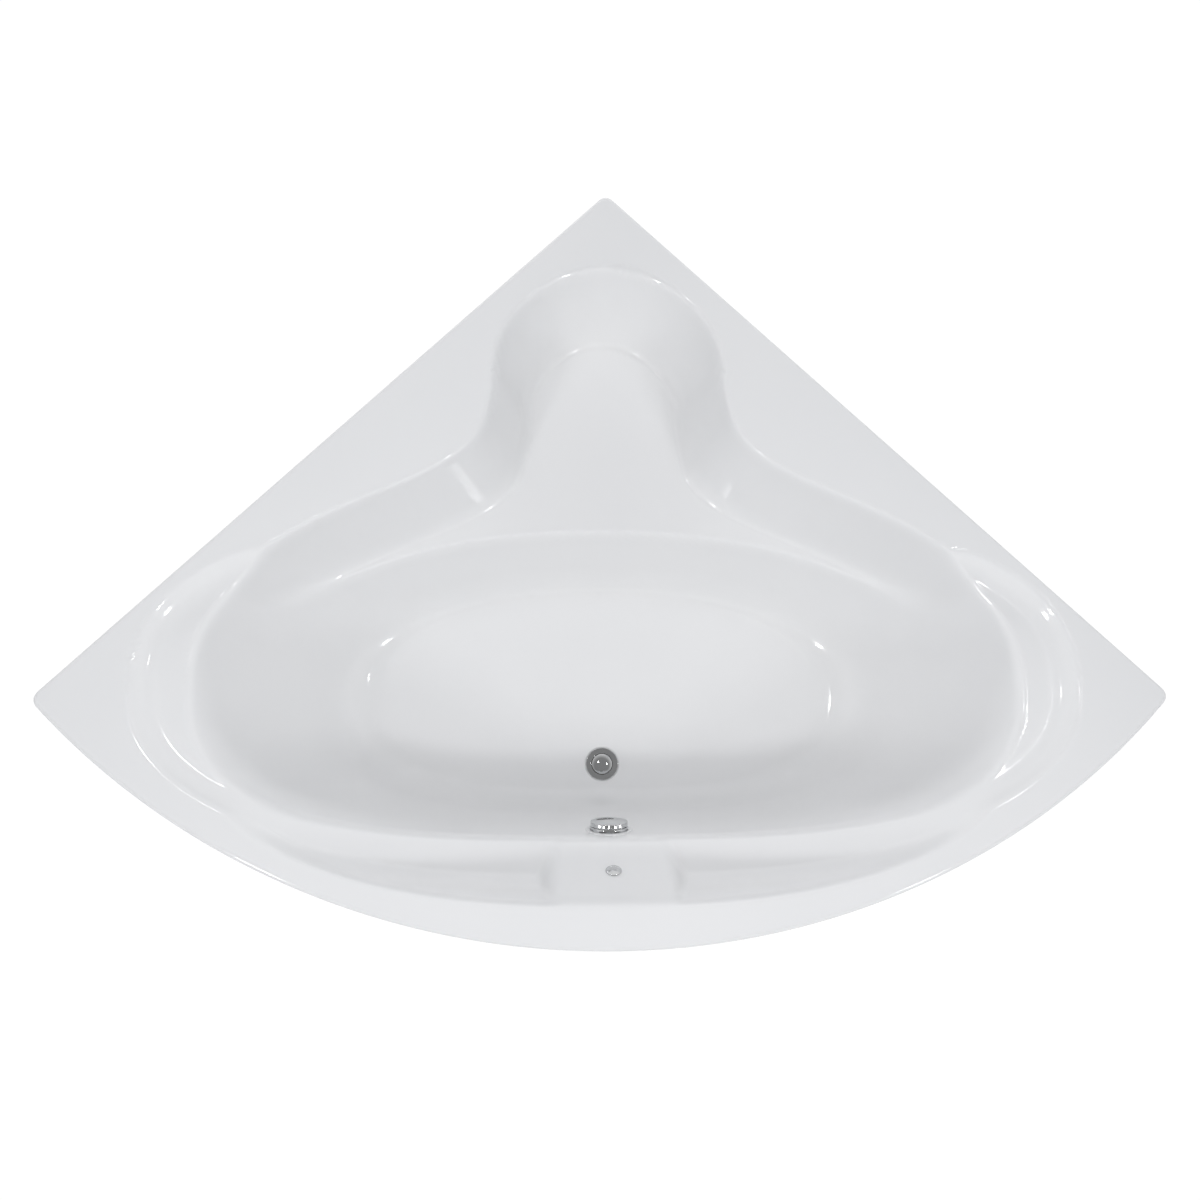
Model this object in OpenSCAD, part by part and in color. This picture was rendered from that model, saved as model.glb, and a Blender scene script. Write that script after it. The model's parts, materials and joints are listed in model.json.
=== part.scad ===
/* [Bath] */
// length of each straight side that stands against a wall
side_w = 1500; // [1440:10:1600]
// width of the flat rim at the middle of the curved front
front_deck = 80; // [70:5:110]
// height of the rim above the floor of the room
rim_h = 600; // [590:5:680]
// depth of the basin at the waste, below the rim
basin_depth = 435; // [410:5:440]
// depth of the corner seat below the rim
seat_depth = 205; // [190:5:220]
// depth of the armrest scoops below the rim
scoop_depth = 28; // [22:1:34]
// thickness of the shell
wall_t = 6; // [5:0.5:7]
// height of the turned down edge
lip_h = 40; // [36:1:50]
// radius over the outer edge of the rim
edge_r = 8; // [7:0.5:10]

/* [Waste] */
// hole in the floor for the waste
waste_bore = 52; // [51:0.5:54]
// chrome flange of the waste
flange_d = 70; // [68:1:76]
// domed plug in the waste
plug_d = 44; // [44:0.5:45]
// how far the plug lifts
plug_lift = 9; // [6:0.5:9]

/* [Overflow] */
// knob of the overflow
knob_d = 76; // [72:1:80]
// thickness of the knob
knob_t = 14; // [12:1:18]
// middle of the knob below the rim
knob_drop = 212; // [208:1:224]
// hole in the wall behind the knob
overflow_bore = 46; // [45:0.5:48]
// chrome cap on the sloping panel above the knob
cap_d = 30; // [26:1:34]
// middle of that cap below the rim
cap_drop = 80; // [74:1:92]

/* [Support] */
// thickness of the boards bonded under floor and seat
board_t = 15; // [12:1:18]
// width of the steel channels
rail_w = 40; // [36:1:46]
// height of the steel channels
rail_ht = 25; // [23:1:28]
// sheet the channels and brackets are bent from
steel_t = 2.5; // [2:0.5:3]
// beam that joins the two channels and the seat leg
spine_w = 30; // [26:1:32]
// threaded rod of each foot
stem_d = 12; // [10:1:13]
// pad of each foot
pad_d = 60; // [50:1:70]
// half distance between the feet along a channel
foot_x = 400; // [360:10:410]
// wall brackets, width
bracket_w = 60; // [50:2:80]
// wooden strips bonded under the rim, width
batten_w = 36; // [30:1:38]

/* [Drain] */
// outside diameter of the hose from overflow to waste
hose_d = 26; // [24:1:27]
// outside diameter of the drain pipe
pipe_d = 40; // [38:1:41]
// diameter of the trap
trap_d = 88; // [84:1:92]

/* [Fit] */
// gap left between neighbouring pieces
gap = 0.3; // [0.3:0.05:0.4]

/* [Hidden] */
rt2 = sqrt(2);
// plan numbers below are for a side of 1500 mm and grow with the side
sc = side_w / 1500;
// distance from the corner of the room to the inner edge of the front rim
inner_reach = 1434;
reach = inner_reach * sc + front_deck;
// rounding of the three corners of the outline
corner_k = 23;
arc_y = (side_w * side_w - reach * reach) / (2 * reach - rt2 * side_w);
arc_r = reach + arc_y;
yo = (reach + corner_k * rt2 / 4) / 2;
function px(x) = x * sc;
function py(y) = y * sc + yo;

// smooth least and smooth most of two heights
function smin(a, b, k) = let (h = max(k - abs(a - b), 0) / k) min(a, b) - h * h * k / 4;
function smax(a, b, k) = -smin(-a, -b, k);
// distance inside a rounded oval, about true near its edge
function oval(x, y, a, b, n) =
  let (u = abs(x) / a, v = abs(y) / b, r = max(pow(pow(u, n) + pow(v, n), 1 / n), 0.001),
       g = pow(r, 1 - n) * norm([pow(u, n - 1) / a, pow(v, n - 1) / b]))
  (1 - r) / max(g, 0.000001);

// main bowl, a stack of ovals from the rim (level 0) to the floor (level 1)
// each oval is its half length and the y of its widest line, its back end and its front end
rim_oval = [793, -1010, -639, -1350];
floor_oval = [535, -968, -727, -1209];
back_power = 2.15;
front_power = 2.7;
function bowl_in(x, y, s) =
  let (o = rim_oval + (floor_oval - rim_oval) * s,
       b = y > o[1] ? o[2] - o[1] : o[1] - o[3], n = y > o[1] ? back_power : front_power)
  pow(abs(x) / o[0], n) + pow(abs(y - o[1]) / b, n) < 1;
function level(x, y, lo, hi, i) =
  i == 0 ? (lo + hi) / 2
  : let (m = (lo + hi) / 2) bowl_in(x, y, m) ? level(x, y, m, hi, i - 1) : level(x, y, lo, m, i - 1);
function bowl(x, y) =
  let (s = level(x, y, -4, 1.9, 19), t = min(max(s, 0), 1))
  -basin_depth * (t + 0.22 * t * (1 - t) + 1.22 * min(s, 0) + 0.78 * max(s - 1, 0));
drain_y = -1131;
// fall of the floor to the waste, with a level patch round it
floor_fall = 0.012;
level_r = 50;
// rounding between floor and walls, and of the edges where the upper forms meet
floor_k = 80;
brink_k = 28;
scoop_k = 26;
rim_k = 24;
function floor_at(x, y) =
  -basin_depth + floor_fall * max(norm([x, y - drain_y]) - level_r, 0);
function main_at(x, y) = smax(floor_at(x, y), bowl(x, y), floor_k);
// corner seat, joined to the bowl by a wide smooth edge
seat_half = 228;
seat_back_len = 224;
seat_mid = -400;
seat_wall_slope = 3.2;
seat_k = 45;
alcove_k = 900;
function alcove(x, y) =
  let (q = max(0, seat_mid - y), w = seat_half + 0.0013 * q * q)
  -seat_wall_slope * oval(x * seat_half / w, max(0, y - seat_mid), seat_half, seat_back_len, 1.9);
// the seat rises out of the way beyond its ends and beyond its front
seat_end = 450;
seat_front = -820;
function seat_at(x, y) =
  smax(-seat_depth, smin(alcove(x, y), bowl(x, y), alcove_k), seat_k)
  + 0.001 * pow(max(0, abs(x) - seat_end), 2) + 0.02 * pow(max(0, seat_front - y), 2);
// sloping front ledge with its flat middle panel
ledge_half = 790;
ledge_mid = -1040;
ledge_front = 394;
ledge_back = 300;
ledge_depth = 125;
ledge_end = 700;
ledge_slope = 2.9;
ledge_k = 45;
panel_slope = 1.25;
panel_half = 112;
panel_k = 25;
round_power = 2.4;
function ledge_at(x, y) =
  let (d = oval(x, y - ledge_mid, ledge_half, y < ledge_mid ? ledge_front : ledge_back, round_power),
       low = -ledge_depth * (1 - pow(x / ledge_end, 2)) - 0.3 * max(d - 40, -20))
  smax(smax(low, -ledge_slope * d, ledge_k),
    -4 - panel_slope * d - 2.5 * max(0, abs(x) - panel_half), panel_k);
// armrest scoops at both ends
scoop_half = 884;
scoop_mid = -1022;
scoop_wide = 345;
scoop_slope = 0.75;
function scoop_at(x, y) =
  let (d = oval(x, y - scoop_mid, scoop_half, scoop_wide, round_power))
  smax(-scoop_depth + 0.1 * max(d - 50, 0), -scoop_slope * d, 22);
function upper_at(x, y) = smin(smin(seat_at(x, y), ledge_at(x, y), brink_k), scoop_at(x, y), scoop_k);
function height(x, y) = smin(smin(main_at(x, y), upper_at(x, y), brink_k), 0, rim_k);

// outline of the rim in plan
function rim_d(x, y) =
  smin(smin((-y - abs(x)) / rt2, (-y + abs(x)) / rt2, corner_k), arc_r - norm([x, y - arc_y]), corner_k);

// columns of the shell mesh on one half, front to back: angles seen from the waste
// to the floor edge, to the basin edge and to the rim outline
columns = [
  [-90, -90, -90], [-52, -79, -81], [-34.5, -69.7, -73.5], [-30.6, -66.8, -71.2], [-23, -58, -63.5],
  [-17, -50, -55.5], [-12, -43.5, -48.5], [-7.5, -37.5, -42.5], [-3.5, -32, -37], [0, -27, -32],
  [3.2, -22.5, -27], [6.4, -18, -22], [9.4, -13.5, -17], [12.4, -9.5, -12.5], [15.4, -5.5, -8],
  [18.2, -2, -4], [20.8, 1.2, -0.5], [23.2, 4, 2.5], [25.4, 6.6, 3.8], [27.6, 9, 5],
  [30.2, 11.6, 7.8], [33.2, 14.6, 11.8], [36.4, 18, 16.5], [39.8, 21.6, 21], [43.4, 25.6, 25.6],
  [47.2, 29.8, 30.2], [51, 34.4, 35.2], [55, 39.4, 40.8], [59, 44.8, 46.4], [63, 50.6, 52.2],
  [66.6, 56.4, 58], [69.8, 61.8, 63.4], [72.6, 66.4, 68], [75.2, 70, 71.6], [77.6, 72.8, 74.8],
  [79.8, 75.2, 77.6], [82, 77.8, 80.4], [84.2, 80.8, 83], [86.2, 83.8, 85.4], [88.1, 86.9, 88.8],
  [90, 90, 90]];
half = len(columns);
cols = 2 * half - 2;
function ray(a, r) = [r * cos(a), drain_y + r * sin(a)];
function floor_r(a, lo, hi, i) =
  i == 0 ? (lo + hi) / 2
  : let (m = (lo + hi) / 2, p = ray(a, m))
    bowl_in(p[0], p[1], 1) ? floor_r(a, m, hi, i - 1) : floor_r(a, lo, m, i - 1);
function edge_at(a, lo, hi, i) =
  i == 0 ? (lo + hi) / 2
  : let (m = (lo + hi) / 2, p = ray(a, m))
    height(p[0], p[1]) < -3 ? edge_at(a, m, hi, i - 1) : edge_at(a, lo, m, i - 1);
function rim_at(a, lo, hi, i) =
  i == 0 ? (lo + hi) / 2
  : let (m = (lo + hi) / 2, p = ray(a, m))
    rim_d(p[0] * sc, p[1] * sc) > 0 ? rim_at(a, m, hi, i - 1) : rim_at(a, lo, m, i - 1);
function mix(p, q, t) = p + (q - p) * t;
function brink(f, e, lo, hi, i) =
  i == 0 ? (lo + hi) / 2
  : let (m = (lo + hi) / 2, p = mix(f, e, m))
    main_at(p[0], p[1]) < upper_at(p[0], p[1]) ? brink(f, e, m, hi, i - 1) : brink(f, e, lo, m, i - 1);
function put(p, z) = [p[0] * sc, p[1] * sc + yo, rim_h + z];
function on_bowl(p) = put(p, height(p[0], p[1]));
// unit vector out of the outline
function rim_n(p) =
  let (x = p[0] * sc, y = p[1] * sc, h = 0.5,
       g = [rim_d(x + h, y) - rim_d(x - h, y), rim_d(x, y + h) - rim_d(x, y - h)])
  -g / norm(g);
function rim_in(p, d, z) = let (n = rim_n(p)) [p[0] * sc - n[0] * d, p[1] * sc + yo - n[1] * d, rim_h + z];
floor_t = [0.4, 0.68, 0.87, 1];
side_t = [0.13, 0.34, 0.6, 0.84, 1];
top_t = [0.06, 0.2, 0.38, 0.56, 0.7, 0.8, 0.87, 0.92, 0.96, 1];
feet = [for (c = columns) ray(c[0], floor_r(c[0], 20, 900, 18))];
// closer to the waste and farther from it than any point of the outline
near_r = 100;
far_r = 1500;
outline = [for (c = columns) ray(c[2], rim_at(c[2], near_r, far_r, 22))];
edges = [for (c = columns) ray(c[1], edge_at(c[1], 60, rim_at(c[1], near_r, far_r, 16), 16))];
brinks = [for (i = [0:half - 1]) brink(feet[i], edges[i], 0, 1, 13)];
function ease(v) = [for (i = [0:half - 1]) (v[max(i - 1, 0)] + 2 * v[i] + v[min(i + 1, half - 1)]) / 4];
soft = ease(ease(ease(brinks)));
// the brink steps from the seat up to the scoops at each end, so it is evened out there
eased = [for (i = [0:half - 1]) i > 12 && i < 26 ? soft[i] : brinks[i]];
// one column of outer points from the waste to the foot of the lip
function column(i) =
  let (f = feet[i], o = outline[i], e = edges[i], k = eased[i], start = ray(columns[i][0], 48),
       inset = rim_in(o, edge_r, 0), er = put(e, 0))
  concat(
    [on_bowl(start)],
    [for (t = floor_t) on_bowl(mix(start, f, t))],
    [for (t = side_t) on_bowl(mix(f, e, t * k))],
    [for (t = top_t) on_bowl(mix(f, e, k + (1 - k) * t))],
    [on_bowl(mix(e, [(inset[0]) / sc, (inset[1] - yo) / sc], min(0.5, 16 / norm(inset - er))))],
    [inset, rim_in(o, edge_r * 0.293, -edge_r * 0.293), rim_in(o, 0, -edge_r), rim_in(o, 0, -lip_h)]);
right = [for (i = [0:half - 1]) column(i)];
rings = len(right[0]);
function at(k, j) =
  let (i = (j + cols) % cols) i < half ? right[i][k] : let (p = right[cols - i][k]) [-p[0], p[1], p[2]];
function under(k, j) =
  let (p = at(k, j), a = at(min(k + 1, rings - 1), j), b = at(max(k - 1, 0), j),
       u = a - b, v = at(k, j + 1) - at(k, j - 1), w = cross(u, v), n = w / norm(w),
       h = [n[0], n[1], 0] / max(norm([n[0], n[1]]), 0.001))
  k == rings - 1 ? p - wall_t * h : p[2] < rim_h - basin_depth + 0.01 ? p - [0, 0, wall_t] : p - wall_t * n;
module shell_body() {
  pts = concat([[0, py(drain_y), rim_h - basin_depth]],
    [for (k = [0:rings - 1], j = [0:cols - 1]) at(k, j)],
    [for (k = [rings - 1:-1:0], j = [0:cols - 1]) under(k, j)],
    [[0, py(drain_y), rim_h - basin_depth - wall_t]]);
  total = 2 * rings;
  last = len(pts) - 1;
  function id(k, j) = 1 + k * cols + (j + cols) % cols;
  faces = concat(
    [for (j = [0:cols - 1]) [0, id(0, j + 1), id(0, j)]],
    [for (k = [0:total - 2], j = [0:cols - 1]) each (j < half - 1
      ? [[id(k, j), id(k, j + 1), id(k + 1, j + 1)], [id(k, j), id(k + 1, j + 1), id(k + 1, j)]]
      : [[id(k, j), id(k, j + 1), id(k + 1, j)], [id(k, j + 1), id(k + 1, j + 1), id(k + 1, j)]])],
    [for (j = [0:cols - 1]) [last, id(total - 1, j), id(total - 1, j + 1)]]);
  polyhedron(points = pts, faces = faces, convexity = 10);
}

// front wall at the knob and its lean
function wall_y(z, lo, hi, i) =
  i == 0 ? (lo + hi) / 2
  : let (m = (lo + hi) / 2) height(0, m) > z ? wall_y(z, m, hi, i - 1) : wall_y(z, lo, m, i - 1);
knob_y = py(wall_y(-knob_drop, -1300, -1200, 20));
function wall_at(z) = wall_y(z, -1310, -1200, 20);
lean = atan((wall_at(-knob_drop - 40) - wall_at(-knob_drop + 20)) * sc / 60);
cap_y = py(wall_y(-cap_drop, -1430, -1320, 20));
cap_tilt = atan(panel_slope / sc);
module on_wall() {
  translate([0, knob_y, rim_h - knob_drop])
    rotate([lean - 90, 0, 0])
      children();
}
module on_panel() {
  translate([0, cap_y, rim_h - cap_drop])
    rotate([-cap_tilt, 0, 0])
      children();
}
module on_side(s, t) {
  translate([s * t / rt2, yo - t / rt2, rim_h])
    rotate([0, 0, s * 135])
      children();
}
module ring(d1, d2, z1, z2, f = 48) {
  difference() {
    translate([0, 0, z1])
      cylinder(h = z2 - z1, d = d1, $fn = f);
    translate([0, 0, z1 - 1])
      cylinder(h = z2 - z1 + 2, d = d2, $fn = f);
  }
}

dy = py(drain_y);
floor_z = rim_h - basin_depth;
under_z = floor_z - wall_t;
recess = 2;
// raised pad round the overflow
pad_out = 2;
pad_wide = 8;
cap_bore = 14;
through = 60;
module tub_shell() {
  color("white") difference() {
    union() {
      shell_body();
      on_wall()
        translate([0, 0, -wall_t / 2])
          cylinder(h = wall_t / 2 + pad_out, d = knob_d + 2 * pad_wide, $fn = 64);
    }
    translate([0, dy, under_z - through / 2])
      cylinder(h = through, d = waste_bore, $fn = 48);
    translate([0, dy, floor_z - recess])
      cylinder(h = through / 3, d = flange_d + 3, $fn = 64);
    on_wall()
      translate([0, 0, -through / 2])
        cylinder(h = through, d = overflow_bore, $fn = 48);
    on_panel()
      translate([0, 0, -through / 2])
        cylinder(h = through, d = cap_bore, $fn = 32);
  }
}

// heights of the stack under the floor
board_top = under_z - gap;
board_bot = board_top - board_t;
rail_top = board_bot - gap;
rail_bot = rail_top - rail_ht;
spine_top = rail_bot - gap;
spine_bot = spine_top - spine_w;
seat_board_top = rim_h - seat_depth - wall_t - gap;
seat_board_bot = seat_board_top - board_t;
seat_rail_bot = seat_board_bot - gap - rail_ht;
front_y = py(-1030);
rear_y = py(-850);
seat_y = py(-440);
// board under the floor, from behind the waste to the foot of the back wall
channel_end = 40;
board_half = foot_x + channel_end;
board_corner = 60 * sc;
board_front = py(-1072);
board_back = py(-765);
seat_board_half = 125 * sc;
seat_board_front = 145 * sc;
seat_board_back = 125 * sc;
batten_half = 390 * sc;
batten_at = 560 * sc;
batten_t = 18;
seat_channel_half = 115;
// wood screws, their places along a channel as shares of the feet's distance
screw_d = 6;
screw_head_t = 4;
screw_tip = 4;
screw_bore_stop = 3;
screw_x = [-0.72, -0.36, 0.36, 0.72];
seat_screw_x = 80;
bolt_d = 8;
bolt_head_t = 5.5;
bolt_nut_h = 6.5;
bolt_spare = 10;
nut_h = 0.75 * stem_d;
// wider holes in the boards let the rods be turned
rod_room = 4;
module hole(x, y, z1, z2, d) {
  translate([x, y, z1])
    cylinder(h = z2 - z1, d = d, $fn = 32);
}
module base_board() {
  r = board_corner;
  x = board_half;
  y1 = board_front;
  y2 = board_back;
  color("burlywood") difference() {
    union() {
      translate([-x + r, y1, board_bot])
        cube([2 * x - 2 * r, y2 - y1, board_t]);
      translate([-x, y1 + r, board_bot])
        cube([2 * x, y2 - y1 - 2 * r, board_t]);
      for (sx = [-1, 1], yy = [y1 + r, y2 - r])
        translate([sx * (x - r), yy, board_bot])
          cylinder(h = board_t, r = r, $fn = 64);
    }
    for (sx = [-1, 1], yy = [front_y, rear_y])
      hole(sx * foot_x, yy, board_bot - 1, board_top + 1, stem_d + rod_room);
    for (k = screw_x, yy = [front_y, rear_y])
      hole(k * foot_x, yy, board_bot - 1, board_top - screw_bore_stop, screw_d + 2 * gap);
  }
}
module seat_board() {
  color("burlywood") difference() {
    translate([-seat_board_half, seat_y - seat_board_front, seat_board_bot])
      cube([2 * seat_board_half, seat_board_front + seat_board_back, board_t]);
    hole(0, seat_y, seat_board_bot - 1, seat_board_top + 1, stem_d + rod_room);
    for (s = [-1, 1])
      hole(s * seat_screw_x, seat_y, seat_board_bot - 1, seat_board_top - screw_bore_stop,
        screw_d + 2 * gap);
  }
}
module batten(s) {
  color("burlywood") on_side(s, batten_at)
    translate([-batten_half, wall_t + gap + steel_t + 1, -wall_t - gap - batten_t])
      cube([2 * batten_half, batten_w, batten_t]);
}
module channel(half_len, y, bot) {
  translate([-half_len, y - rail_w / 2, bot])
    difference() {
      cube([2 * half_len, rail_w, rail_ht]);
      translate([-1, steel_t, steel_t])
        cube([2 * half_len + 2, rail_w - 2 * steel_t, rail_ht]);
    }
}
module floor_channel(y) {
  color("silver") difference() {
    channel(foot_x + channel_end, y, rail_bot);
    for (s = [-1, 1])
      hole(s * foot_x, y, rail_bot - 1, rail_bot + steel_t + 1, stem_d + 2 * gap);
    for (k = screw_x)
      hole(k * foot_x, y, rail_bot - 1, rail_bot + steel_t + 1, screw_d + 2 * gap);
    hole(0, y, rail_bot - 1, rail_bot + steel_t + 1, bolt_d + 2 * gap);
  }
}
module rail_seat() {
  color("silver") difference() {
    channel(seat_channel_half, seat_y, seat_rail_bot);
    hole(0, seat_y, seat_rail_bot - 1, seat_rail_bot + steel_t + 1, stem_d + 2 * gap);
    for (s = [-1, 1])
      hole(s * seat_screw_x, seat_y, seat_rail_bot - 1, seat_rail_bot + steel_t + 1, screw_d + 2 * gap);
  }
}
module frame_spine() {
  y1 = front_y - rail_w / 2;
  y2 = seat_y + channel_end;
  color("silver") difference() {
    translate([-spine_w / 2, y1, spine_bot])
      cube([spine_w, y2 - y1, spine_w]);
    translate([-spine_w / 2 + steel_t, y1 - 1, spine_bot + steel_t])
      cube([spine_w - 2 * steel_t, y2 - y1 + 2, spine_w - 2 * steel_t]);
    for (y = [front_y, rear_y])
      hole(0, y, spine_bot - 1, spine_top + 1, bolt_d + 2 * gap);
    hole(0, seat_y, spine_bot - 1, spine_top + 1, stem_d + 2 * gap);
  }
}
module wood_screw(x, y, bot, board) {
  hole(x, y, bot - gap - screw_head_t, bot - gap, 2 * screw_d);
  hole(x, y, bot - gap - 1, board + board_t - screw_tip, screw_d);
}
module rail_screws() {
  color("dimgray") {
    for (k = screw_x, y = [front_y, rear_y])
      wood_screw(k * foot_x, y, rail_bot, board_bot);
    for (s = [-1, 1])
      wood_screw(s * seat_screw_x, seat_y, seat_rail_bot, seat_board_bot);
  }
}
module frame_bolts() {
  color("dimgray") for (y = [front_y, rear_y]) {
    translate([0, y, spine_bot - gap - bolt_head_t])
      cylinder(h = bolt_head_t, d = 1.85 * bolt_d, $fn = 6);
    hole(0, y, spine_bot - gap - 1, rail_bot + steel_t + gap + bolt_spare, bolt_d);
  }
}
module hex_nut(x, y, z, d, h) {
  translate([x, y, z])
    difference() {
      cylinder(h = h, d = 1.8 * d, $fn = 6);
      translate([0, 0, -1])
        cylinder(h = h + 2, d = d + 2 * gap, $fn = 32);
    }
}
module frame_nuts() {
  color("dimgray") for (y = [front_y, rear_y])
    hex_nut(0, y, rail_bot + steel_t + gap, bolt_d, bolt_nut_h);
}
module foot_lock_nuts() {
  color("dimgray") {
    for (s = [-1, 1], y = [front_y, rear_y], z = [rail_bot + steel_t + gap, rail_bot - gap - nut_h])
      hex_nut(s * foot_x, y, z, stem_d, nut_h);
    for (z = [seat_rail_bot + steel_t + gap, seat_rail_bot - gap - nut_h,
        spine_top + gap, spine_bot - gap - nut_h])
      hex_nut(0, seat_y, z, stem_d, nut_h);
  }
}
// rim, cone and sole of a foot pad, and how far a rod reaches into the hole of its board
pad_rim_t = 5;
pad_cone_h = 9;
pad_sole_t = 4;
rod_in_board = 1.5;
rod_tip = 1;
module stem(x, y, board) {
  top = board + rod_in_board;
  color("gray") {
    hole(x, y, pad_sole_t + gap, top - rod_tip, stem_d);
    translate([x, y, top - rod_tip])
      cylinder(h = rod_tip, d1 = stem_d, d2 = stem_d - 2, $fn = 32);
  }
}
module pad(x, y) {
  color("darkslategray") translate([x, y, 0])
    difference() {
      union() {
        cylinder(h = pad_rim_t, d = pad_d, $fn = 48);
        translate([0, 0, pad_rim_t])
          cylinder(h = pad_cone_h, d1 = pad_d - 6, d2 = stem_d + 12, $fn = 48);
      }
      translate([0, 0, pad_sole_t])
        cylinder(h = pad_rim_t + pad_cone_h, d = stem_d + 2 * gap, $fn = 32);
    }
}
// bent hook under the turned down edge, flat against the wall
bracket_h = 75;
hook_h = 24;
bracket_bore = 6.5;
bracket_bore_drop = 48;
bracket_inner = 380;
bracket_outer = 1330;
module wall_bracket(s, t) {
  out = wall_t + gap;
  drop = lip_h + gap;
  color("silver") on_side(s, t * sc)
    difference() {
      union() {
        translate([-bracket_w / 2, 0, -drop - bracket_h])
          cube([bracket_w, steel_t, bracket_h]);
        translate([-bracket_w / 2, 0, -drop - steel_t])
          cube([bracket_w, out + steel_t, steel_t]);
        translate([-bracket_w / 2, out, -drop - steel_t])
          cube([bracket_w, steel_t, hook_h]);
      }
      for (x = [-0.3, 0.3])
        translate([x * bracket_w, -1, -drop - bracket_bore_drop])
          rotate([-90, 0, 0])
            cylinder(h = steel_t + 2, d = bracket_bore, $fn = 32);
    }
}

// waste
tube_r = waste_bore / 2 - 1.5;
in_r = tube_r - 3.5;
flange_r = flange_d / 2;
flange_up = 1.8;
tube_len = 33;
stem_r = 4;
// cross that guides the stem, below the floor
cross_bot = -27;
cross_t = 6;
cross_w = 4;
guide_r = 8.5;
module waste_flange() {
  z = floor_z;
  color("silver") difference() {
    union() {
      translate([0, dy, 0])
        rotate_extrude($fn = 64)
          polygon([[in_r, z - tube_len], [tube_r, z - tube_len], [tube_r, z - 0.4], [flange_r, z - 0.4],
            [flange_r, z + flange_up - 1.2], [flange_r - 1.2, z + flange_up], [flange_r - 3, z + flange_up],
            [tube_r - 0.5, z + 0.7], [in_r, z - 3]]);
      for (a = [45:90:315])
        translate([0, dy, z + cross_bot])
          rotate([0, 0, a])
            translate([6, -cross_w / 2, 0])
              cube([in_r - 5, cross_w, cross_t]);
      hole(0, dy, z + cross_bot, z + cross_bot + cross_t, 2 * guide_r);
    }
    hole(0, dy, z + cross_bot - 3, z + cross_bot + cross_t + 11, 2 * stem_r + 2 * gap);
  }
}
module waste_seal() {
  color("dimgray") translate([0, dy, 0])
    ring(flange_d - 2, waste_bore + 2, floor_z - recess + gap, floor_z - 0.4 - gap);
}
// plastic body under the floor: collar, neck, chamber and outlet, from the top down
collar_d = 84;
collar_drop = 3.6;
collar_t = 3;
neck_d = 60;
body_r = 36;
body_wall = 3;
body_bot = 70;
outlet_d = 40;
outlet_bot = 93;
inlet_z = floor_z - 53;
spigot_wall = 2.5;
inlet_end = 50;
lever_d = 6;
// ear that holds the end of the cable
ear_x = 36;
ear_y = -42;
ear_t = 6;
ear_z = 28;
cable_d = 6;
// the stem still fills its guide when the plug is up, and stands just clear of the lever
stem_bot = floor_z - 29 - plug_lift;
lever_z = stem_bot - gap - 5.7;
lever_y = -22;
module waste_body() {
  z = floor_z;
  color("gray") translate([0, dy, 0])
    difference() {
      union() {
        hole(0, 0, under_z - collar_drop - collar_t, under_z - collar_drop, collar_d);
        hole(0, 0, z - 40, under_z - collar_drop - 0.4, neck_d);
        hole(0, 0, z - body_bot, z - 35, 2 * body_r);
        hole(0, 0, z - outlet_bot, z - body_bot + 1, outlet_d);
        translate([0, -28, inlet_z])
          rotate([90, 0, 0])
            cylinder(h = inlet_end - 28, d = hose_d, $fn = 48);
        translate([21, ear_y, z - 52])
          cube([7, 22, 12]);
        translate([21, ear_y, z - 52])
          cube([ear_x - 15, ear_t, 30]);
      }
      hole(0, 0, z - 45, z, 2 * tube_r + 2 * gap);
      hole(0, 0, z - body_bot + body_wall, z - 38, 2 * body_r - 2 * body_wall);
      hole(0, 0, z - outlet_bot - 1, z - 60, outlet_d - 2 * body_wall);
      translate([0, -20, inlet_z])
        rotate([90, 0, 0])
          cylinder(h = 40, d = hose_d - 2 * spigot_wall, $fn = 48);
      translate([-50, lever_y, lever_z])
        rotate([0, 90, 0])
          cylinder(h = 100, d = lever_d + 2 * gap, $fn = 32);
      translate([ear_x, ear_y + 2 * ear_t, z - ear_z])
        rotate([90, 0, 0])
          cylinder(h = 20, d = cable_d + 2 * gap, $fn = 32);
    }
}
module waste_body_seal() {
  color("dimgray") translate([0, dy, 0])
    ring(collar_d - 4, waste_bore + 4, under_z - collar_drop + gap, under_z - gap);
}
// flat bottomed dome of a given height, turned from an arc
module dome(r, z1, z2, rim) {
  rise = z2 - z1 - rim;
  big_r = (r * r + rise * rise) / (2 * rise);
  top = asin(r / big_r);
  rotate_extrude($fn = 64)
    polygon(concat([[0, z1], [r, z1]],
      [for (i = [0:8]) let (a = top * (1 - i / 8)) [big_r * sin(a), z2 - big_r + big_r * cos(a)]]));
}
plug_top = 6.5;
plug_rim = 1.2;
plug_socket = 3.4;
module plug_cap() {
  color("silver") translate([0, dy, 0])
    difference() {
      dome(plug_d / 2, floor_z + 0.2, floor_z + plug_top, plug_rim);
      hole(0, 0, floor_z - 1, floor_z + plug_socket, 2 * stem_r + 2 * gap);
    }
}
module plug_seal() {
  color("dimgray") translate([0, dy, 0])
    ring(2 * in_r + 1.6, 2 * stem_r + 2 * gap, floor_z - 1.6, floor_z - 0.1);
}
module plug_stem() {
  color("gray") hole(0, dy, stem_bot, floor_z + plug_socket - gap, 2 * stem_r);
}
module lift_lever() {
  color("gray") translate([0, dy, lever_z]) {
    translate([-33, lever_y, 0])
      rotate([0, 90, 0])
        cylinder(h = 71, d = lever_d, $fn = 32);
    translate([-4, lever_y, 1.7])
      cube([8, -lever_y, 3.7]);
    translate([-5, 0, 3.7])
      rotate([0, 90, 0])
        cylinder(h = 10, d = 4, $fn = 32);
    translate([34, lever_y - 3.5, -4])
      cube([4, 7, 22]);
  }
}

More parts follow.
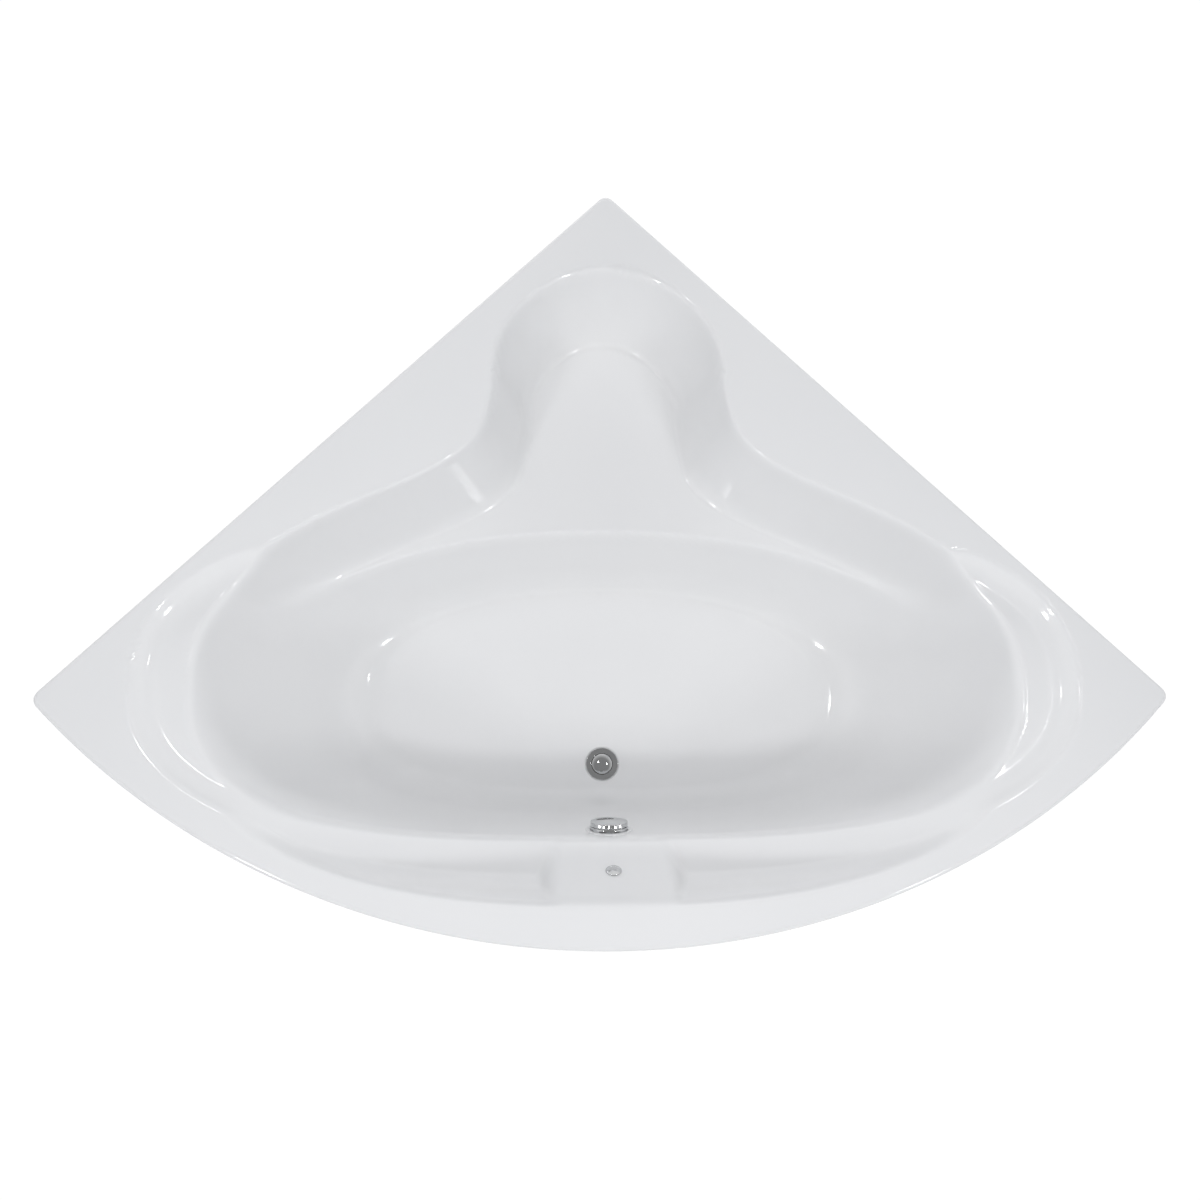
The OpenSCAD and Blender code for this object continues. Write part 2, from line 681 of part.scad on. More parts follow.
// overflow, drawn along the lean of the wall; z is out of the wall, y down it
face = pad_out + gap;
back = -wall_t - 2 * gap;
seal_t = 1.6;
body_z = back - seal_t - gap;
out_z = body_z - 17;
out_y = 50;
rosette_t = 6;
rosette_wall = 3;
window_w = 14;
window_h = 2.5;
// the two screws that pull the rosette to the body behind the wall
post_x = 16;
post_d = 5;
module overflow_rosette() {
  color("silver") on_wall()
    difference() {
      union() {
        ring(knob_d, knob_d - 2 * rosette_wall, face, face + rosette_t, 64);
        ring(knob_d, 2 * stem_r + 2 * gap, face + rosette_t - 2, face + rosette_t, 64);
      }
      for (a = [0:45:135])
        rotate([0, 0, a + 22.5])
          translate([-knob_d, -window_w / 2, face - 1])
            cube([2 * knob_d, window_w, window_h + 1]);
      for (s = [-1, 1])
        hole(s * post_x, 0, face, face + 10, post_d + 2 * gap);
    }
}
knob_z = face + rosette_t + gap;
knob_socket = 7;
notch_r = 4;
notch_out = 2.6;
module overflow_knob() {
  z = knob_z;
  r = knob_d / 2 - 1;
  color("silver") on_wall()
    difference() {
      dome(r, z, z + knob_t, knob_t - 5);
      difference() {
        hole(0, 0, z - 1, z + 4, 2 * r - 12);
        hole(0, 0, z - 2, z + 5, 18);
      }
      hole(0, 0, z - 1, z + knob_socket, 2 * stem_r + 2 * gap);
      for (a = [0:30:330])
        rotate([0, 0, a])
          hole(r + notch_out, 0, z - 1, z + knob_t - 3, 2 * notch_r);
    }
}
// body behind the wall: flange, chamber and hose outlet
chamber_t = 33;
chamber_d = 60;
chamber_wall = 3;
flange_back_d = 70;
shaft_bot = body_z - chamber_t - 8;
guide_x = 14;
guide_z = body_z - chamber_t - 5;
module knob_shaft() {
  color("gray") on_wall() {
    hole(0, 0, shaft_bot, knob_z + knob_socket - gap, 2 * stem_r);
    hole(0, 0, shaft_bot + 2.5, body_z - chamber_t - gap, 26);
  }
}
module overflow_screws() {
  color("dimgray") on_wall()
    for (s = [-1, 1]) {
      hole(s * post_x, 0, knob_z, knob_z + 2.3, 9);
      hole(s * post_x, 0, body_z - 18, knob_z + 1, post_d);
    }
}
module overflow_gasket() {
  color("dimgray") on_wall()
    ring(66, overflow_bore + 2, back - seal_t, back);
}
module overflow_body() {
  color("gray") on_wall()
    difference() {
      union() {
        hole(0, 0, body_z - chamber_wall, body_z, flange_back_d);
        hole(0, 0, body_z - chamber_t, body_z - 1, chamber_d);
        translate([0, 24, out_z])
          rotate([-90, 0, 0])
            cylinder(h = out_y - 24, d = hose_d, $fn = 48);
        translate([guide_x - 6, 22, guide_z - 6])
          cube([12, 6, 18]);
      }
      difference() {
        hole(0, 0, body_z - chamber_t + chamber_wall, body_z + 1, chamber_d - 2 * chamber_wall);
        for (s = [-1, 1]) {
          hole(s * post_x, 0, body_z - 20, body_z - 6, 2 * post_d);
          translate([s * 22 - 7, -2, body_z - 20])
            cube([14, 4, 14]);
        }
      }
      for (s = [-1, 1])
        hole(s * post_x, 0, body_z - 25, body_z, post_d + 2 * gap);
      hole(0, 0, body_z - 40, body_z - 20, 2 * stem_r + 2 * gap);
      translate([0, 20, out_z])
        rotate([-90, 0, 0])
          cylinder(h = out_y, d = hose_d - 2 * spigot_wall, $fn = 48);
      translate([guide_x, 10, guide_z])
        rotate([-90, 0, 0])
          cylinder(h = 30, d = cable_d + 2 * gap, $fn = 32);
    }
}

// point given along the wall frame, and a smooth path with straight ends
function from_wall(x, y, z) =
  [x, knob_y + y * sin(lean) + z * cos(lean), rim_h - knob_drop - y * cos(lean) + z * sin(lean)];
function curve(a, b, c, d, t) =
  a * pow(1 - t, 3) + b * 3 * t * pow(1 - t, 2) + c * 3 * t * t * (1 - t) + d * t * t * t;
down = [0, sin(lean), -cos(lean)];
function path(a, b, end_a, end_b, pull_a, pull_b, n) = concat([a],
  [for (i = [0:n]) curve(a + down * end_a, a + down * (end_a + pull_a),
    b - [0, end_b + pull_b, 0], b - [0, end_b, 0], i / n)], [b]);
function unit(v) = v / norm(v);
function tangent(p, i) = unit(p[min(i + 1, len(p) - 1)] - p[max(i - 1, 0)]);
function loop(c, t, r, f) =
  let (u = unit(cross([1, 0, 0], t)), v = cross(t, u))
  [for (j = [0:f - 1]) c + r * (cos(360 * j / f) * v + sin(360 * j / f) * u)];
// a hollow or solid swept body; ring k has outer radius ro[k] and bore ri
module swept(p, ro, ri, f) {
  n = len(p);
  outer = [for (i = [0:n - 1]) each loop(p[i], tangent(p, i), ro[i], f)];
  inner = [for (i = [n - 1:-1:0]) each loop(p[i], tangent(p, i), ri, f)];
  pts = concat(outer, inner);
  m = 2 * n;
  polyhedron(points = pts, convexity = 10, faces = [for (k = [0:m - 1], j = [0:f - 1])
    let (a = k * f + j, b = k * f + (j + 1) % f, q = ((k + 1) % m) * f, c = q + j, d = q + (j + 1) % f)
    each [[a, b, d], [a, d, c]]]);
}
hose_a = from_wall(0, out_y + gap, out_z);
hose_b = [0, dy - inlet_end - gap, inlet_z];
ribs = 22;
rib_h = 2.2;
hose_wall = 3.6;
module overflow_hose() {
  p = path(hose_a, hose_b, 14, 12, 95, 40, 2 * ribs);
  r = hose_d / 2;
  color("whitesmoke") swept(p, [for (i = [0:len(p) - 1])
    i < 2 || i > len(p) - 3 ? r : i % 2 == 0 ? r - rib_h : r], r - hose_wall, 10);
}
// a nut bridges the joint of hose and spigot, half on each
hose_nut_h = 18;
hose_nut_d = hose_d + 9;
module hose_nut() {
  difference() {
    cylinder(h = hose_nut_h, d = hose_nut_d, $fn = 10);
    translate([0, 0, -1])
      cylinder(h = hose_nut_h + 2, d = hose_d + 3 * gap, $fn = 48);
  }
}
module hose_nut_upper() {
  color("dimgray") on_wall()
    translate([0, out_y - hose_nut_h / 2, out_z])
      rotate([-90, 0, 0])
        hose_nut();
}
module hose_nut_lower() {
  color("dimgray") translate([0, dy - inlet_end + hose_nut_h / 2, inlet_z])
    rotate([90, 0, 0])
      hose_nut();
}
module pull_cable() {
  a = from_wall(guide_x, 18, guide_z);
  b = [ear_x, dy + ear_y + 7, floor_z - ear_z];
  p = path(a, b, 16, 12, 110, 60, 14);
  color("white") swept(p, [for (i = p) cable_d / 2], 1, 8);
}

// trap
trap_r = trap_d / 2;
trap_z = floor_z - 123;
trap_wall = 3;
trap_top = 101;
trap_bot = 149;
trap_neck_d = 46.8;
trap_neck_top = 77;
stub_out = 32;
port_d = 34;
port_out = 8;
// the pipe is turned down a little where the outlet nut grips it, like the outlet of the trap
spigot_d = pipe_d - 1.2;
pipe_free = 102;
pipe_wall = 2;
outlet_nut_h = 26;
// the nut reaches past the end of the outlet to the free stretch of the pipe
pipe_in = 14 + 4 - gap;
module trap_body() {
  z = floor_z;
  color("white") translate([0, dy, 0])
    difference() {
      union() {
        hole(0, 0, z - trap_bot, z - trap_top, trap_d);
        hole(0, 0, z - trap_top - 1, z - trap_neck_top, trap_neck_d);
        translate([-trap_r - stub_out, 0, trap_z])
          rotate([0, 90, 0])
            cylinder(h = stub_out + 8, d = spigot_d, $fn = 48);
        translate([0, -trap_r + port_out, trap_z])
          rotate([90, 0, 0])
            cylinder(h = 2 * port_out, d = port_d, $fn = 48);
      }
      hole(0, 0, z - trap_bot + trap_wall, z - trap_top - trap_wall, trap_d - 2 * trap_wall);
      hole(0, 0, z - 120, z - trap_neck_top + 7, outlet_d + 2 * gap);
      translate([-trap_r - stub_out - 8, 0, trap_z])
        rotate([0, 90, 0])
          cylinder(h = stub_out + 18, d = pipe_d - 5, $fn = 48);
      translate([0, -trap_r + port_out + 2, trap_z])
        rotate([90, 0, 0])
          cylinder(h = 30, d = port_d - 2 * trap_wall, $fn = 48);
    }
}
module grip_nut(d1, d2, h) {
  difference() {
    cylinder(h = h, d = d1, $fn = 12);
    translate([0, 0, -1])
      cylinder(h = h + 2, d = d2, $fn = 48);
  }
}
module trap_nut() {
  color("gray") translate([0, dy, floor_z - trap_top + 2])
    grip_nut(60, trap_neck_d + 2 * gap, 20);
}
module trap_clean_cap() {
  color("gray") translate([0, dy - trap_r - 0.6, trap_z])
    rotate([90, 0, 0])
      difference() {
        cylinder(h = port_out + 3, d = port_d + 8, $fn = 12);
        translate([0, 0, -1])
          cylinder(h = port_out + 0.4 + gap, d = port_d + 2 * gap, $fn = 48);
      }
}
module outlet_nut() {
  color("gray") translate([-trap_r - stub_out - 14, dy, trap_z])
    rotate([0, 90, 0])
      grip_nut(pipe_d + 14, spigot_d + 2 * gap, outlet_nut_h);
}
module outlet_pipe() {
  color("white") translate([-trap_r - stub_out - 18 - pipe_free, dy, trap_z])
    rotate([0, 90, 0])
      difference() {
        union() {
          cylinder(h = pipe_free, d = pipe_d, $fn = 48);
          cylinder(h = pipe_free + pipe_in, d = spigot_d, $fn = 48);
        }
        translate([0, 0, -1])
          cylinder(h = pipe_free + pipe_in + 2, d = pipe_d - 2 * pipe_wall, $fn = 48);
      }
}
// blank cap over the spare hole in the panel
cap_t = 5;
cap_stem_d = cap_bore - 2;
cap_stem_len = 11;
cap_nut_h = 5;
module blank_cap() {
  color("silver") on_panel() {
    dome(cap_d / 2, 2 * gap, cap_t, 1.5);
    hole(0, 0, -wall_t - cap_stem_len, 2, cap_stem_d);
  }
}
module blank_cap_nut() {
  color("dimgray") on_panel()
    hex_nut(0, 0, -wall_t - 3 * gap - cap_nut_h, cap_stem_d, cap_nut_h);
}

tub_shell();
base_board();
seat_board();
batten(-1);  // rim_batten_left
batten(1);  // rim_batten_right
floor_channel(front_y);  // rail_front
floor_channel(rear_y);  // rail_rear
rail_seat();
frame_spine();
rail_screws();
frame_bolts();
frame_nuts();
foot_lock_nuts();
stem(-foot_x, front_y, board_bot);  // foot_stem_front_left
pad(-foot_x, front_y);  // foot_pad_front_left
stem(foot_x, front_y, board_bot);  // foot_stem_front_right
pad(foot_x, front_y);  // foot_pad_front_right
stem(-foot_x, rear_y, board_bot);  // foot_stem_rear_left
pad(-foot_x, rear_y);  // foot_pad_rear_left
stem(foot_x, rear_y, board_bot);  // foot_stem_rear_right
pad(foot_x, rear_y);  // foot_pad_rear_right
stem(0, seat_y, seat_board_bot);  // foot_stem_seat
pad(0, seat_y);  // foot_pad_seat
wall_bracket(-1, bracket_inner);  // wall_bracket_left_inner
wall_bracket(-1, bracket_outer);  // wall_bracket_left_outer
wall_bracket(1, bracket_inner);  // wall_bracket_right_inner
wall_bracket(1, bracket_outer);  // wall_bracket_right_outer
waste_flange();
waste_seal();
waste_body();
waste_body_seal();
plug_cap();
plug_seal();
plug_stem();
lift_lever();
overflow_rosette();
overflow_knob();
knob_shaft();
overflow_screws();
overflow_gasket();
overflow_body();
overflow_hose();
hose_nut_upper();
hose_nut_lower();
pull_cable();
trap_body();
trap_nut();
trap_clean_cap();
outlet_nut();
outlet_pipe();
blank_cap();
blank_cap_nut();
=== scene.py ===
"""Corner bathtub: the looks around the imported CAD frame, in metres; the shell's plan is in millimetres."""
import json
from math import acos, asin, atan, atan2, cos, pi, radians, sin, sqrt, tan

import bmesh
import bpy
import numpy as np
from mathutils import Matrix, Vector


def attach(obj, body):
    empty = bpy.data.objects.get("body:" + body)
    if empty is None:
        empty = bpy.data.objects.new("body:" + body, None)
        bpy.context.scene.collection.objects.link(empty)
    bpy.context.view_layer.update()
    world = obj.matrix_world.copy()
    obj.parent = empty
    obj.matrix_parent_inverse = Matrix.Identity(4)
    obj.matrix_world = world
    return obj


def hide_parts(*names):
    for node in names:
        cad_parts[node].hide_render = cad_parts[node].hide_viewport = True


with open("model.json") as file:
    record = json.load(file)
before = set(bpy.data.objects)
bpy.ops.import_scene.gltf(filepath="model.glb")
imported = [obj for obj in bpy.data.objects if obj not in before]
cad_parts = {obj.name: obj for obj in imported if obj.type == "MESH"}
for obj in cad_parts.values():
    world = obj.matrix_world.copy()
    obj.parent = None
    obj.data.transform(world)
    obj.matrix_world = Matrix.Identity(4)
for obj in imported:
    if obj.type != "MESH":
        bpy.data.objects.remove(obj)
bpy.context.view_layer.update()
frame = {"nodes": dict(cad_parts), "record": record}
MM = 0.001
ROOT = "bath"
SQRT2 = sqrt(2)

# Driving sizes of the shell, in millimetres
SIDE = 1500.0
REACH = 1514.0
CORNER_K = 23.0
RIM_H = 600.0
BASIN_DEPTH = 435.0
SEAT_DEPTH = 205.0
SCOOP_DEPTH = 28.0
WALL_T = 6.0
LIP_H = 40.0
EDGE_R = 8.0
LIP_EDGE_R = 1.2
DRAIN_Y = -1131.0
WASTE_BORE_R = 26.0
RECESS_R = 36.5
RECESS_DEPTH = 2.0
RECESS_EDGE = 0.6
KNOB_DROP = 212.0
CAP_DROP = 80.0
PAD_R = 46.0
PAD_OUT = 2.0
OVERFLOW_R = 23.0
PANEL_HOLE_R = 7.0
PANEL_SLOPE = 1.25
GAP = 0.3

# Forms of the shell, also in millimetres. An oval is half a width, then the y of its middle, back and front.
# A power rounds an oval, and a name that ends in _K is the width over which two surfaces blend.
RIM_OVAL = (793, -1010, -639, -1350)
FLOOR_OVAL = (535, -968, -727, -1209)
BACK_POWER, FRONT_POWER, ROUND_POWER, SEAT_POWER = 2.15, 2.7, 2.4, 1.9
BOWL_BEND = 0.22
FLOOR_FALL, FLOOR_FLAT = 0.012, 60
SEAT_HALF, SEAT_BACK, SEAT_MID, SEAT_FLARE, SEAT_SLOPE = 228, 224, -400, 0.0013, 3.2
SEAT_END, SEAT_END_RISE, SEAT_FRONT, SEAT_FRONT_RISE = 450, 0.001, -820, 0.02
LEDGE_HALF, LEDGE_MID, LEDGE_FRONT, LEDGE_BACK = 790, -1040, 394, 300
LEDGE_DEPTH, LEDGE_END, LEDGE_FALL, LEDGE_SLOPE = 125, 700, 0.3, 2.9
PANEL_TOP, PANEL_HALF, PANEL_SIDE_SLOPE = 4, 112, 2.5
SCOOP_HALF, SCOOP_WIDE, SCOOP_MID, SCOOP_SLOPE = 884, 345, -1022, 1.35
SCOOP_FLAT, SCOOP_RISE, SCOOP_END, SCOOP_BACK, SCOOP_FADE = 50, 0.1, 740, -1000, 1e-5
FLOOR_K, ALCOVE_K, SEAT_K, LEDGE_K, PANEL_SIDE_K, PANEL_K, BRINK_K = 80, 900, 45, 45, 18, 25, 28
SCOOP_K, SCOOP_BRINK_K, SCOOP_EDGE_K, RIM_K = 30, 27, 7, 24

ARC_Y = (SIDE**2 - REACH**2) / (2 * REACH - SQRT2 * SIDE)
ARC_R = REACH + ARC_Y
PLAN_Y = (REACH + CORNER_K * SQRT2 / 4) / 2


# Heights of the shell over its plan; the room's corner is at (0, 0) and y is negative towards the front
def smin(a, b, k):
    h = np.maximum(k - np.abs(a - b), 0) / k
    return np.minimum(a, b) - h * h * k / 4


def smax(a, b, k):
    return -smin(-a, -b, k)


def oval(x, y, a, b, n):
    """Distance inside a rounded oval, about true near its edge."""
    u, v = np.abs(x) / a, np.abs(y) / b
    r = np.maximum((u**n + v**n) ** (1 / n), 0.001)
    g = r ** (1 - n) * np.hypot(u ** (n - 1) / a, v ** (n - 1) / b)
    return (1 - r) / np.maximum(g, 1e-6)


def halving(inside, low, high, rounds):
    """Halves the span between low, where inside holds, and high, where it does not."""
    for _ in range(rounds):
        mid = (low + high) / 2
        held = inside(mid)
        low, high = np.where(held, mid, low), np.where(held, high, mid)
    return low, high


def bowl(x, y):
    """The main bowl, a stack of ovals from the rim (level 0) to the floor (level 1)."""

    def inside(s):
        half, middle, back, front = (a + (b - a) * s for a, b in zip(RIM_OVAL, FLOOR_OVAL))
        behind = y > middle
        b = np.where(behind, back - middle, middle - front)
        n = np.where(behind, BACK_POWER, FRONT_POWER)
        return (np.abs(x) / half) ** n + (np.abs(y - middle) / b) ** n < 1

    low, high = halving(inside, -4.0, 1.9, 24)
    s = (low + high) / 2
    t = np.clip(s, 0, 1)
    beyond = (1 + BOWL_BEND) * np.minimum(s, 0) + (1 - BOWL_BEND) * np.maximum(s - 1, 0)
    return -BASIN_DEPTH * (t + BOWL_BEND * t * (1 - t) + beyond)


def height(x, y):
    """Top face of the shell below the rim, without its outer edge."""
    wall = bowl(x, y)
    across = np.abs(x)
    floor = FLOOR_FALL * (np.hypot(np.hypot(x, y - DRAIN_Y), FLOOR_FLAT) - FLOOR_FLAT) - BASIN_DEPTH
    main = smax(floor, wall, FLOOR_K)
    q = np.maximum(0, SEAT_MID - y)
    wider = x * SEAT_HALF / (SEAT_HALF + SEAT_FLARE * q * q)
    alcove = -SEAT_SLOPE * oval(wider, np.maximum(0, y - SEAT_MID), SEAT_HALF, SEAT_BACK, SEAT_POWER)
    seat = (
        smax(-SEAT_DEPTH, smin(alcove, wall, ALCOVE_K), SEAT_K)
        + SEAT_END_RISE * np.maximum(0, across - SEAT_END) ** 2
        + SEAT_FRONT_RISE * np.maximum(0, SEAT_FRONT - y) ** 2
    )
    d = oval(x, y - LEDGE_MID, LEDGE_HALF, np.where(y < LEDGE_MID, LEDGE_FRONT, LEDGE_BACK), ROUND_POWER)
    ledge = -LEDGE_DEPTH * (1 - (x / LEDGE_END) ** 2) - LEDGE_FALL * np.maximum(d - 40, -20)
    ledge = smax(ledge, -LEDGE_SLOPE * d, LEDGE_K)
    panel = -PANEL_TOP - PANEL_SLOPE * d - PANEL_SIDE_SLOPE * smax(0, across - PANEL_HALF, PANEL_SIDE_K)
    ledge = smax(ledge, panel, PANEL_K)
    e = oval(x, y - SCOOP_MID, SCOOP_HALF, SCOOP_WIDE, ROUND_POWER)
    scoop = smax(SCOOP_RISE * np.maximum(e - SCOOP_FLAT, 0) - SCOOP_DEPTH, -SCOOP_SLOPE * e, SCOOP_K)
    scoop = scoop + SCOOP_FADE * np.maximum(SCOOP_END - across, 0) ** 2 * np.maximum(y - SCOOP_BACK, 0)
    inner = smin(main, smin(seat, ledge, BRINK_K), BRINK_K)
    # The scoops have a crisp outer edge, and every other edge of the rim is soft
    edge = np.interp(scoop - inner, (-15, 15), (SCOOP_EDGE_K, RIM_K))
    return smin(smin(inner, scoop, SCOOP_BRINK_K), 0, edge)


def rim_depth(x, y):
    """Distance inside the outline of the rim."""
    walls = smin((-y - np.abs(x)) / SQRT2, (-y + np.abs(x)) / SQRT2, CORNER_K)
    return smin(walls, ARC_R - np.hypot(x, y - ARC_Y), CORNER_K)


def gradient(field, x, y, step):
    return (
        (field(x + step, y) - field(x - step, y)) / (2 * step),
        (field(x, y + step) - field(x, y - step)) / (2 * step),
    )


def top_normals(x, y):
    gx, gy = gradient(height, x, y, 0.4)
    n = np.stack([-gx, -gy, np.ones_like(gx)], -1)
    return n / np.linalg.norm(n, axis=-1, keepdims=True)


def in_row(x, y, z):
    """Plan millimetres to the row frame in metres."""
    return np.stack([x, y + PLAN_Y, z + RIM_H], -1) * MM


def solve_y(z, low, high):
    """Plan y on the middle line where the front wall has height z."""
    return float(sum(halving(lambda y: height(np.array(0.0), np.array(y)) > z, low, high, 30)) / 2)


# Plan y between which the wall behind the knob lies, and the panel
WALL_SPAN, PANEL_SPAN = (-1310, -1200), (-1430, -1320)
KNOB_Y = solve_y(-KNOB_DROP, *WALL_SPAN)
CAP_Y = solve_y(-CAP_DROP, *PANEL_SPAN)
LEAN = atan((solve_y(-KNOB_DROP - 40, *WALL_SPAN) - solve_y(-KNOB_DROP + 20, *WALL_SPAN)) / 60)


def at_point(y, z, tilt):
    """Frame at a plan point on the middle line, with its z turned towards the back by tilt."""
    return Matrix.Translation(Vector(in_row(0.0, y, z))) @ Matrix.Rotation(tilt, 4, "X")


WALL = at_point(KNOB_Y, -KNOB_DROP, LEAN - pi / 2)
PANEL = at_point(CAP_Y, -CAP_DROP, -atan(PANEL_SLOPE))
WASTE = at_point(DRAIN_Y, -BASIN_DEPTH, 0)
LENGTHWISE = Matrix(((0, 0, 1, 0), (1, 0, 0, 0), (0, 1, 0, 0), (0, 0, 0, 1)))
DEPTHWISE = Matrix(((1, 0, 0, 0), (0, 0, 1, 0), (0, 1, 0, 0), (0, 0, 0, 1)))
TURNS = {"+x": (1, "Y"), "-x": (-1, "Y"), "+y": (-1, "X"), "-y": (1, "X")}


# Small tools for meshes
def linked(name, data):
    obj = bpy.data.objects.new(name, data)
    bpy.context.scene.collection.objects.link(obj)
    return obj


def new_object(name, verts, faces, mats, face_mats=None):
    mesh = bpy.data.meshes.new(name)
    mesh.from_pydata([tuple(v) for v in verts], [], faces)
    for m in mats:
        mesh.materials.append(m)
    if face_mats is not None:
        mesh.polygons.foreach_set("material_index", face_mats)
    mesh.update()
    return linked(name, mesh)


def smooth(obj, angle):
    obj.data.polygons.foreach_set("use_smooth", [True] * len(obj.data.polygons))
    obj.data.set_sharp_from_angle(angle=radians(angle))


def apply_modifiers(obj):
    bpy.context.view_layer.update()
    depsgraph = bpy.context.evaluated_depsgraph_get()
    mesh = bpy.data.meshes.new_from_object(obj.evaluated_get(depsgraph))
    obj.modifiers.clear()
    mesh.name = obj.data.name + "_final"
    obj.data = mesh


def boolean(obj, tool, operation):
    m = obj.modifiers.new("cut", "BOOLEAN")
    m.operation = operation
    m.object = tool
    m.solver = "MANIFOLD"
    apply_modifiers(obj)
    bpy.data.objects.remove(tool)


def finish(obj, node, body=ROOT):
    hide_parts(node)
    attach(obj, body)


def solid(name, verts, faces, mat, angle):
    """New object with its faces turned outwards, and smooth up to an angle."""
    obj = new_object(name, verts, faces, [mat])
    bm = bmesh.new()
    bm.from_mesh(obj.data)
    bmesh.ops.recalc_face_normals(bm, faces=bm.faces)
    bm.to_mesh(obj.data)
    bm.free()
    smooth(obj, angle)
    return obj


def quads(rows, columns):
    """Faces between rows of points, closed round both ways."""
    ends = [(j * columns, (j + 1) % rows * columns) for j in range(rows)]
    sides = [(k, (k + 1) % columns) for k in range(columns)]
    return [(low + k, high + k, high + n, low + n) for low, high in ends for k, n in sides]


def ring_angles(steps):
    return 2 * pi * np.arange(steps) / steps


def turned(name, rings, mat, matrix=Matrix.Identity(4), steps=96, close=False, angle=35):
    """Solid round z from rings of (radius, height) in millimetres; either may be an array over the angle."""
    turn = ring_angles(steps)
    verts, rows = [], []
    for r, z in rings:
        if np.ndim(r) == 0 and r == 0:
            rows.append([len(verts)])
            verts.append((0.0, 0.0, float(z)))
            continue
        rows.append(list(range(len(verts), len(verts) + steps)))
        verts += list(zip(r * np.cos(turn), r * np.sin(turn), np.broadcast_to(z, steps)))
    faces = []
    for p, q in zip(rows, rows[1:] + (rows[:1] if close else [])):
        for k in range(steps):
            n = (k + 1) % steps
            face = dict.fromkeys((p[k % len(p)], p[n % len(p)], q[n % len(q)], q[k % len(q)]))
            if len(face) > 2:
                faces.append(tuple(face))
    return solid(name, [matrix @ (Vector(v) * MM) for v in verts], faces, mat, angle)


def fillet(points, radii, steps=5):
    """A closed outline with its corners rounded."""
    points = np.array(points, float)
    out = []
    for i, (p, r) in enumerate(zip(points, radii)):
        if r == 0:
            out.append(tuple(p))
            continue
        a, b = points[i - 1] - p, points[(i + 1) % len(points)] - p
        u, v = a / np.linalg.norm(a), b / np.linalg.norm(b)
        half = acos(np.clip(u @ v, -1, 1)) / 2
        middle = p + (u + v) / np.linalg.norm(u + v) * r / sin(half)
        start = p + u * r / tan(half) - middle
        end = p + v * r / tan(half) - middle
        span = pi - 2 * half
        for k in range(steps + 1):
            t = k / steps
            w = (start * sin((1 - t) * span) + end * sin(t * span)) / sin(span)
            out.append(tuple(middle + w))
    return out


def extruded(name, loop, low, high, mat, matrix, edge=0.0):
    """A closed outline pushed along z from low to high, with its end edges broken by edge."""
    n = len(loop)
    verts = [matrix @ (Vector((*p, z)) * MM) for z in (low, high) for p in loop]
    faces = [tuple(range(n)), tuple(range(n, 2 * n))]
    faces += [(k, (k + 1) % n, n + (k + 1) % n, n + k) for k in range(n)]
    obj = solid(name, verts, faces, mat, 30)
    if edge:
        m = obj.modifiers.new("edge", "BEVEL")
        m.width, m.segments, m.limit_method, m.angle_limit = edge * MM, 2, "ANGLE", radians(40)
        apply_modifiers(obj)
        smooth(obj, 30)
    return obj


def rectangle(x0, y0, x1, y1):
    return [(x0, y0), (x1, y0), (x1, y1), (x0, y1)]


def rod(name, r, low, high, mat, matrix=Matrix.Identity(4), c=0.0):
    """Round bar with its edges broken by c."""
    rings = [(0, low), (r - c, low), (r, low + c), (r, high - c), (r - c, high), (0, high)]
    return turned(name, rings, mat, matrix, 48)


def block(name, low, high, mat, matrix=Matrix.Identity(4), edge=0.0):
    return extruded(name, rectangle(*low[:2], *high[:2]), low[2], high[2], mat, matrix, edge)


def cut(obj, *tools, operation="DIFFERENCE"):
    for tool in tools:
        boolean(obj, tool, operation)
    smooth(obj, 30)
    return obj


def fuse(obj, *tools):
    cut(obj, *tools, operation="UNION")


def at(x, y, z):
    return Matrix.Translation(Vector((x, y, z)) * MM)


def along(matrix, x, y, z, axis):
    """Frame at a point in millimetres, with its z along an axis of the old one."""
    sign, hinge = TURNS[axis]
    return matrix @ at(x, y, z) @ Matrix.Rotation(sign * pi / 2, 4, hinge)


def swept(name, p, radii, bore, mat, sides):
    """A tube along the points p in metres, closed over its bore at both ends."""
    t = np.gradient(p, axis=0)
    t /= np.linalg.norm(t, axis=1, keepdims=True)
    u = np.cross((1.0, 0.0, 0.0), t)
    u /= np.linalg.norm(u, axis=1, keepdims=True)
    v = np.cross(t, u)
    a = ring_angles(sides)[None, :, None]
    ring = np.cos(a) * v[:, None] + np.sin(a) * u[:, None]
    outer = p[:, None] + ring * (radii * MM)[:, None, None]
    inner = (p[:, None] + ring * bore * MM)[::-1]
    verts = np.concatenate([outer, inner]).reshape(-1, 3)
    return solid(name, verts, quads(2 * len(p), sides), mat, 40)


def bend(a, b, end_a, end_b, pull_a, pull_b, count):
    """Evenly spaced points on a smooth path that leaves a down the wall and enters b from the front."""
    down = WALL.to_3x3() @ Vector((0, MM, 0))
    front = Vector((0, -MM, 0))
    c = [a + down * end_a, a + down * (end_a + pull_a), b + front * (end_b + pull_b), b + front * end_b]
    t = np.linspace(0, 1, 400)[:, None]
    weights = np.hstack([(1 - t) ** 3, 3 * t * (1 - t) ** 2, 3 * t**2 * (1 - t), t**3])
    curve = weights @ np.array([tuple(v) for v in c])
    line = np.vstack([np.linspace(a, c[0], 20)[:-1], curve, np.linspace(c[3], b, 20)[1:]])
    run = np.concatenate([[0], np.cumsum(np.linalg.norm(np.diff(line, axis=0), axis=1))])
    even = np.linspace(0, run[-1], count)
    return np.stack([np.interp(even, run, line[:, k]) for k in range(3)], 1), even / MM


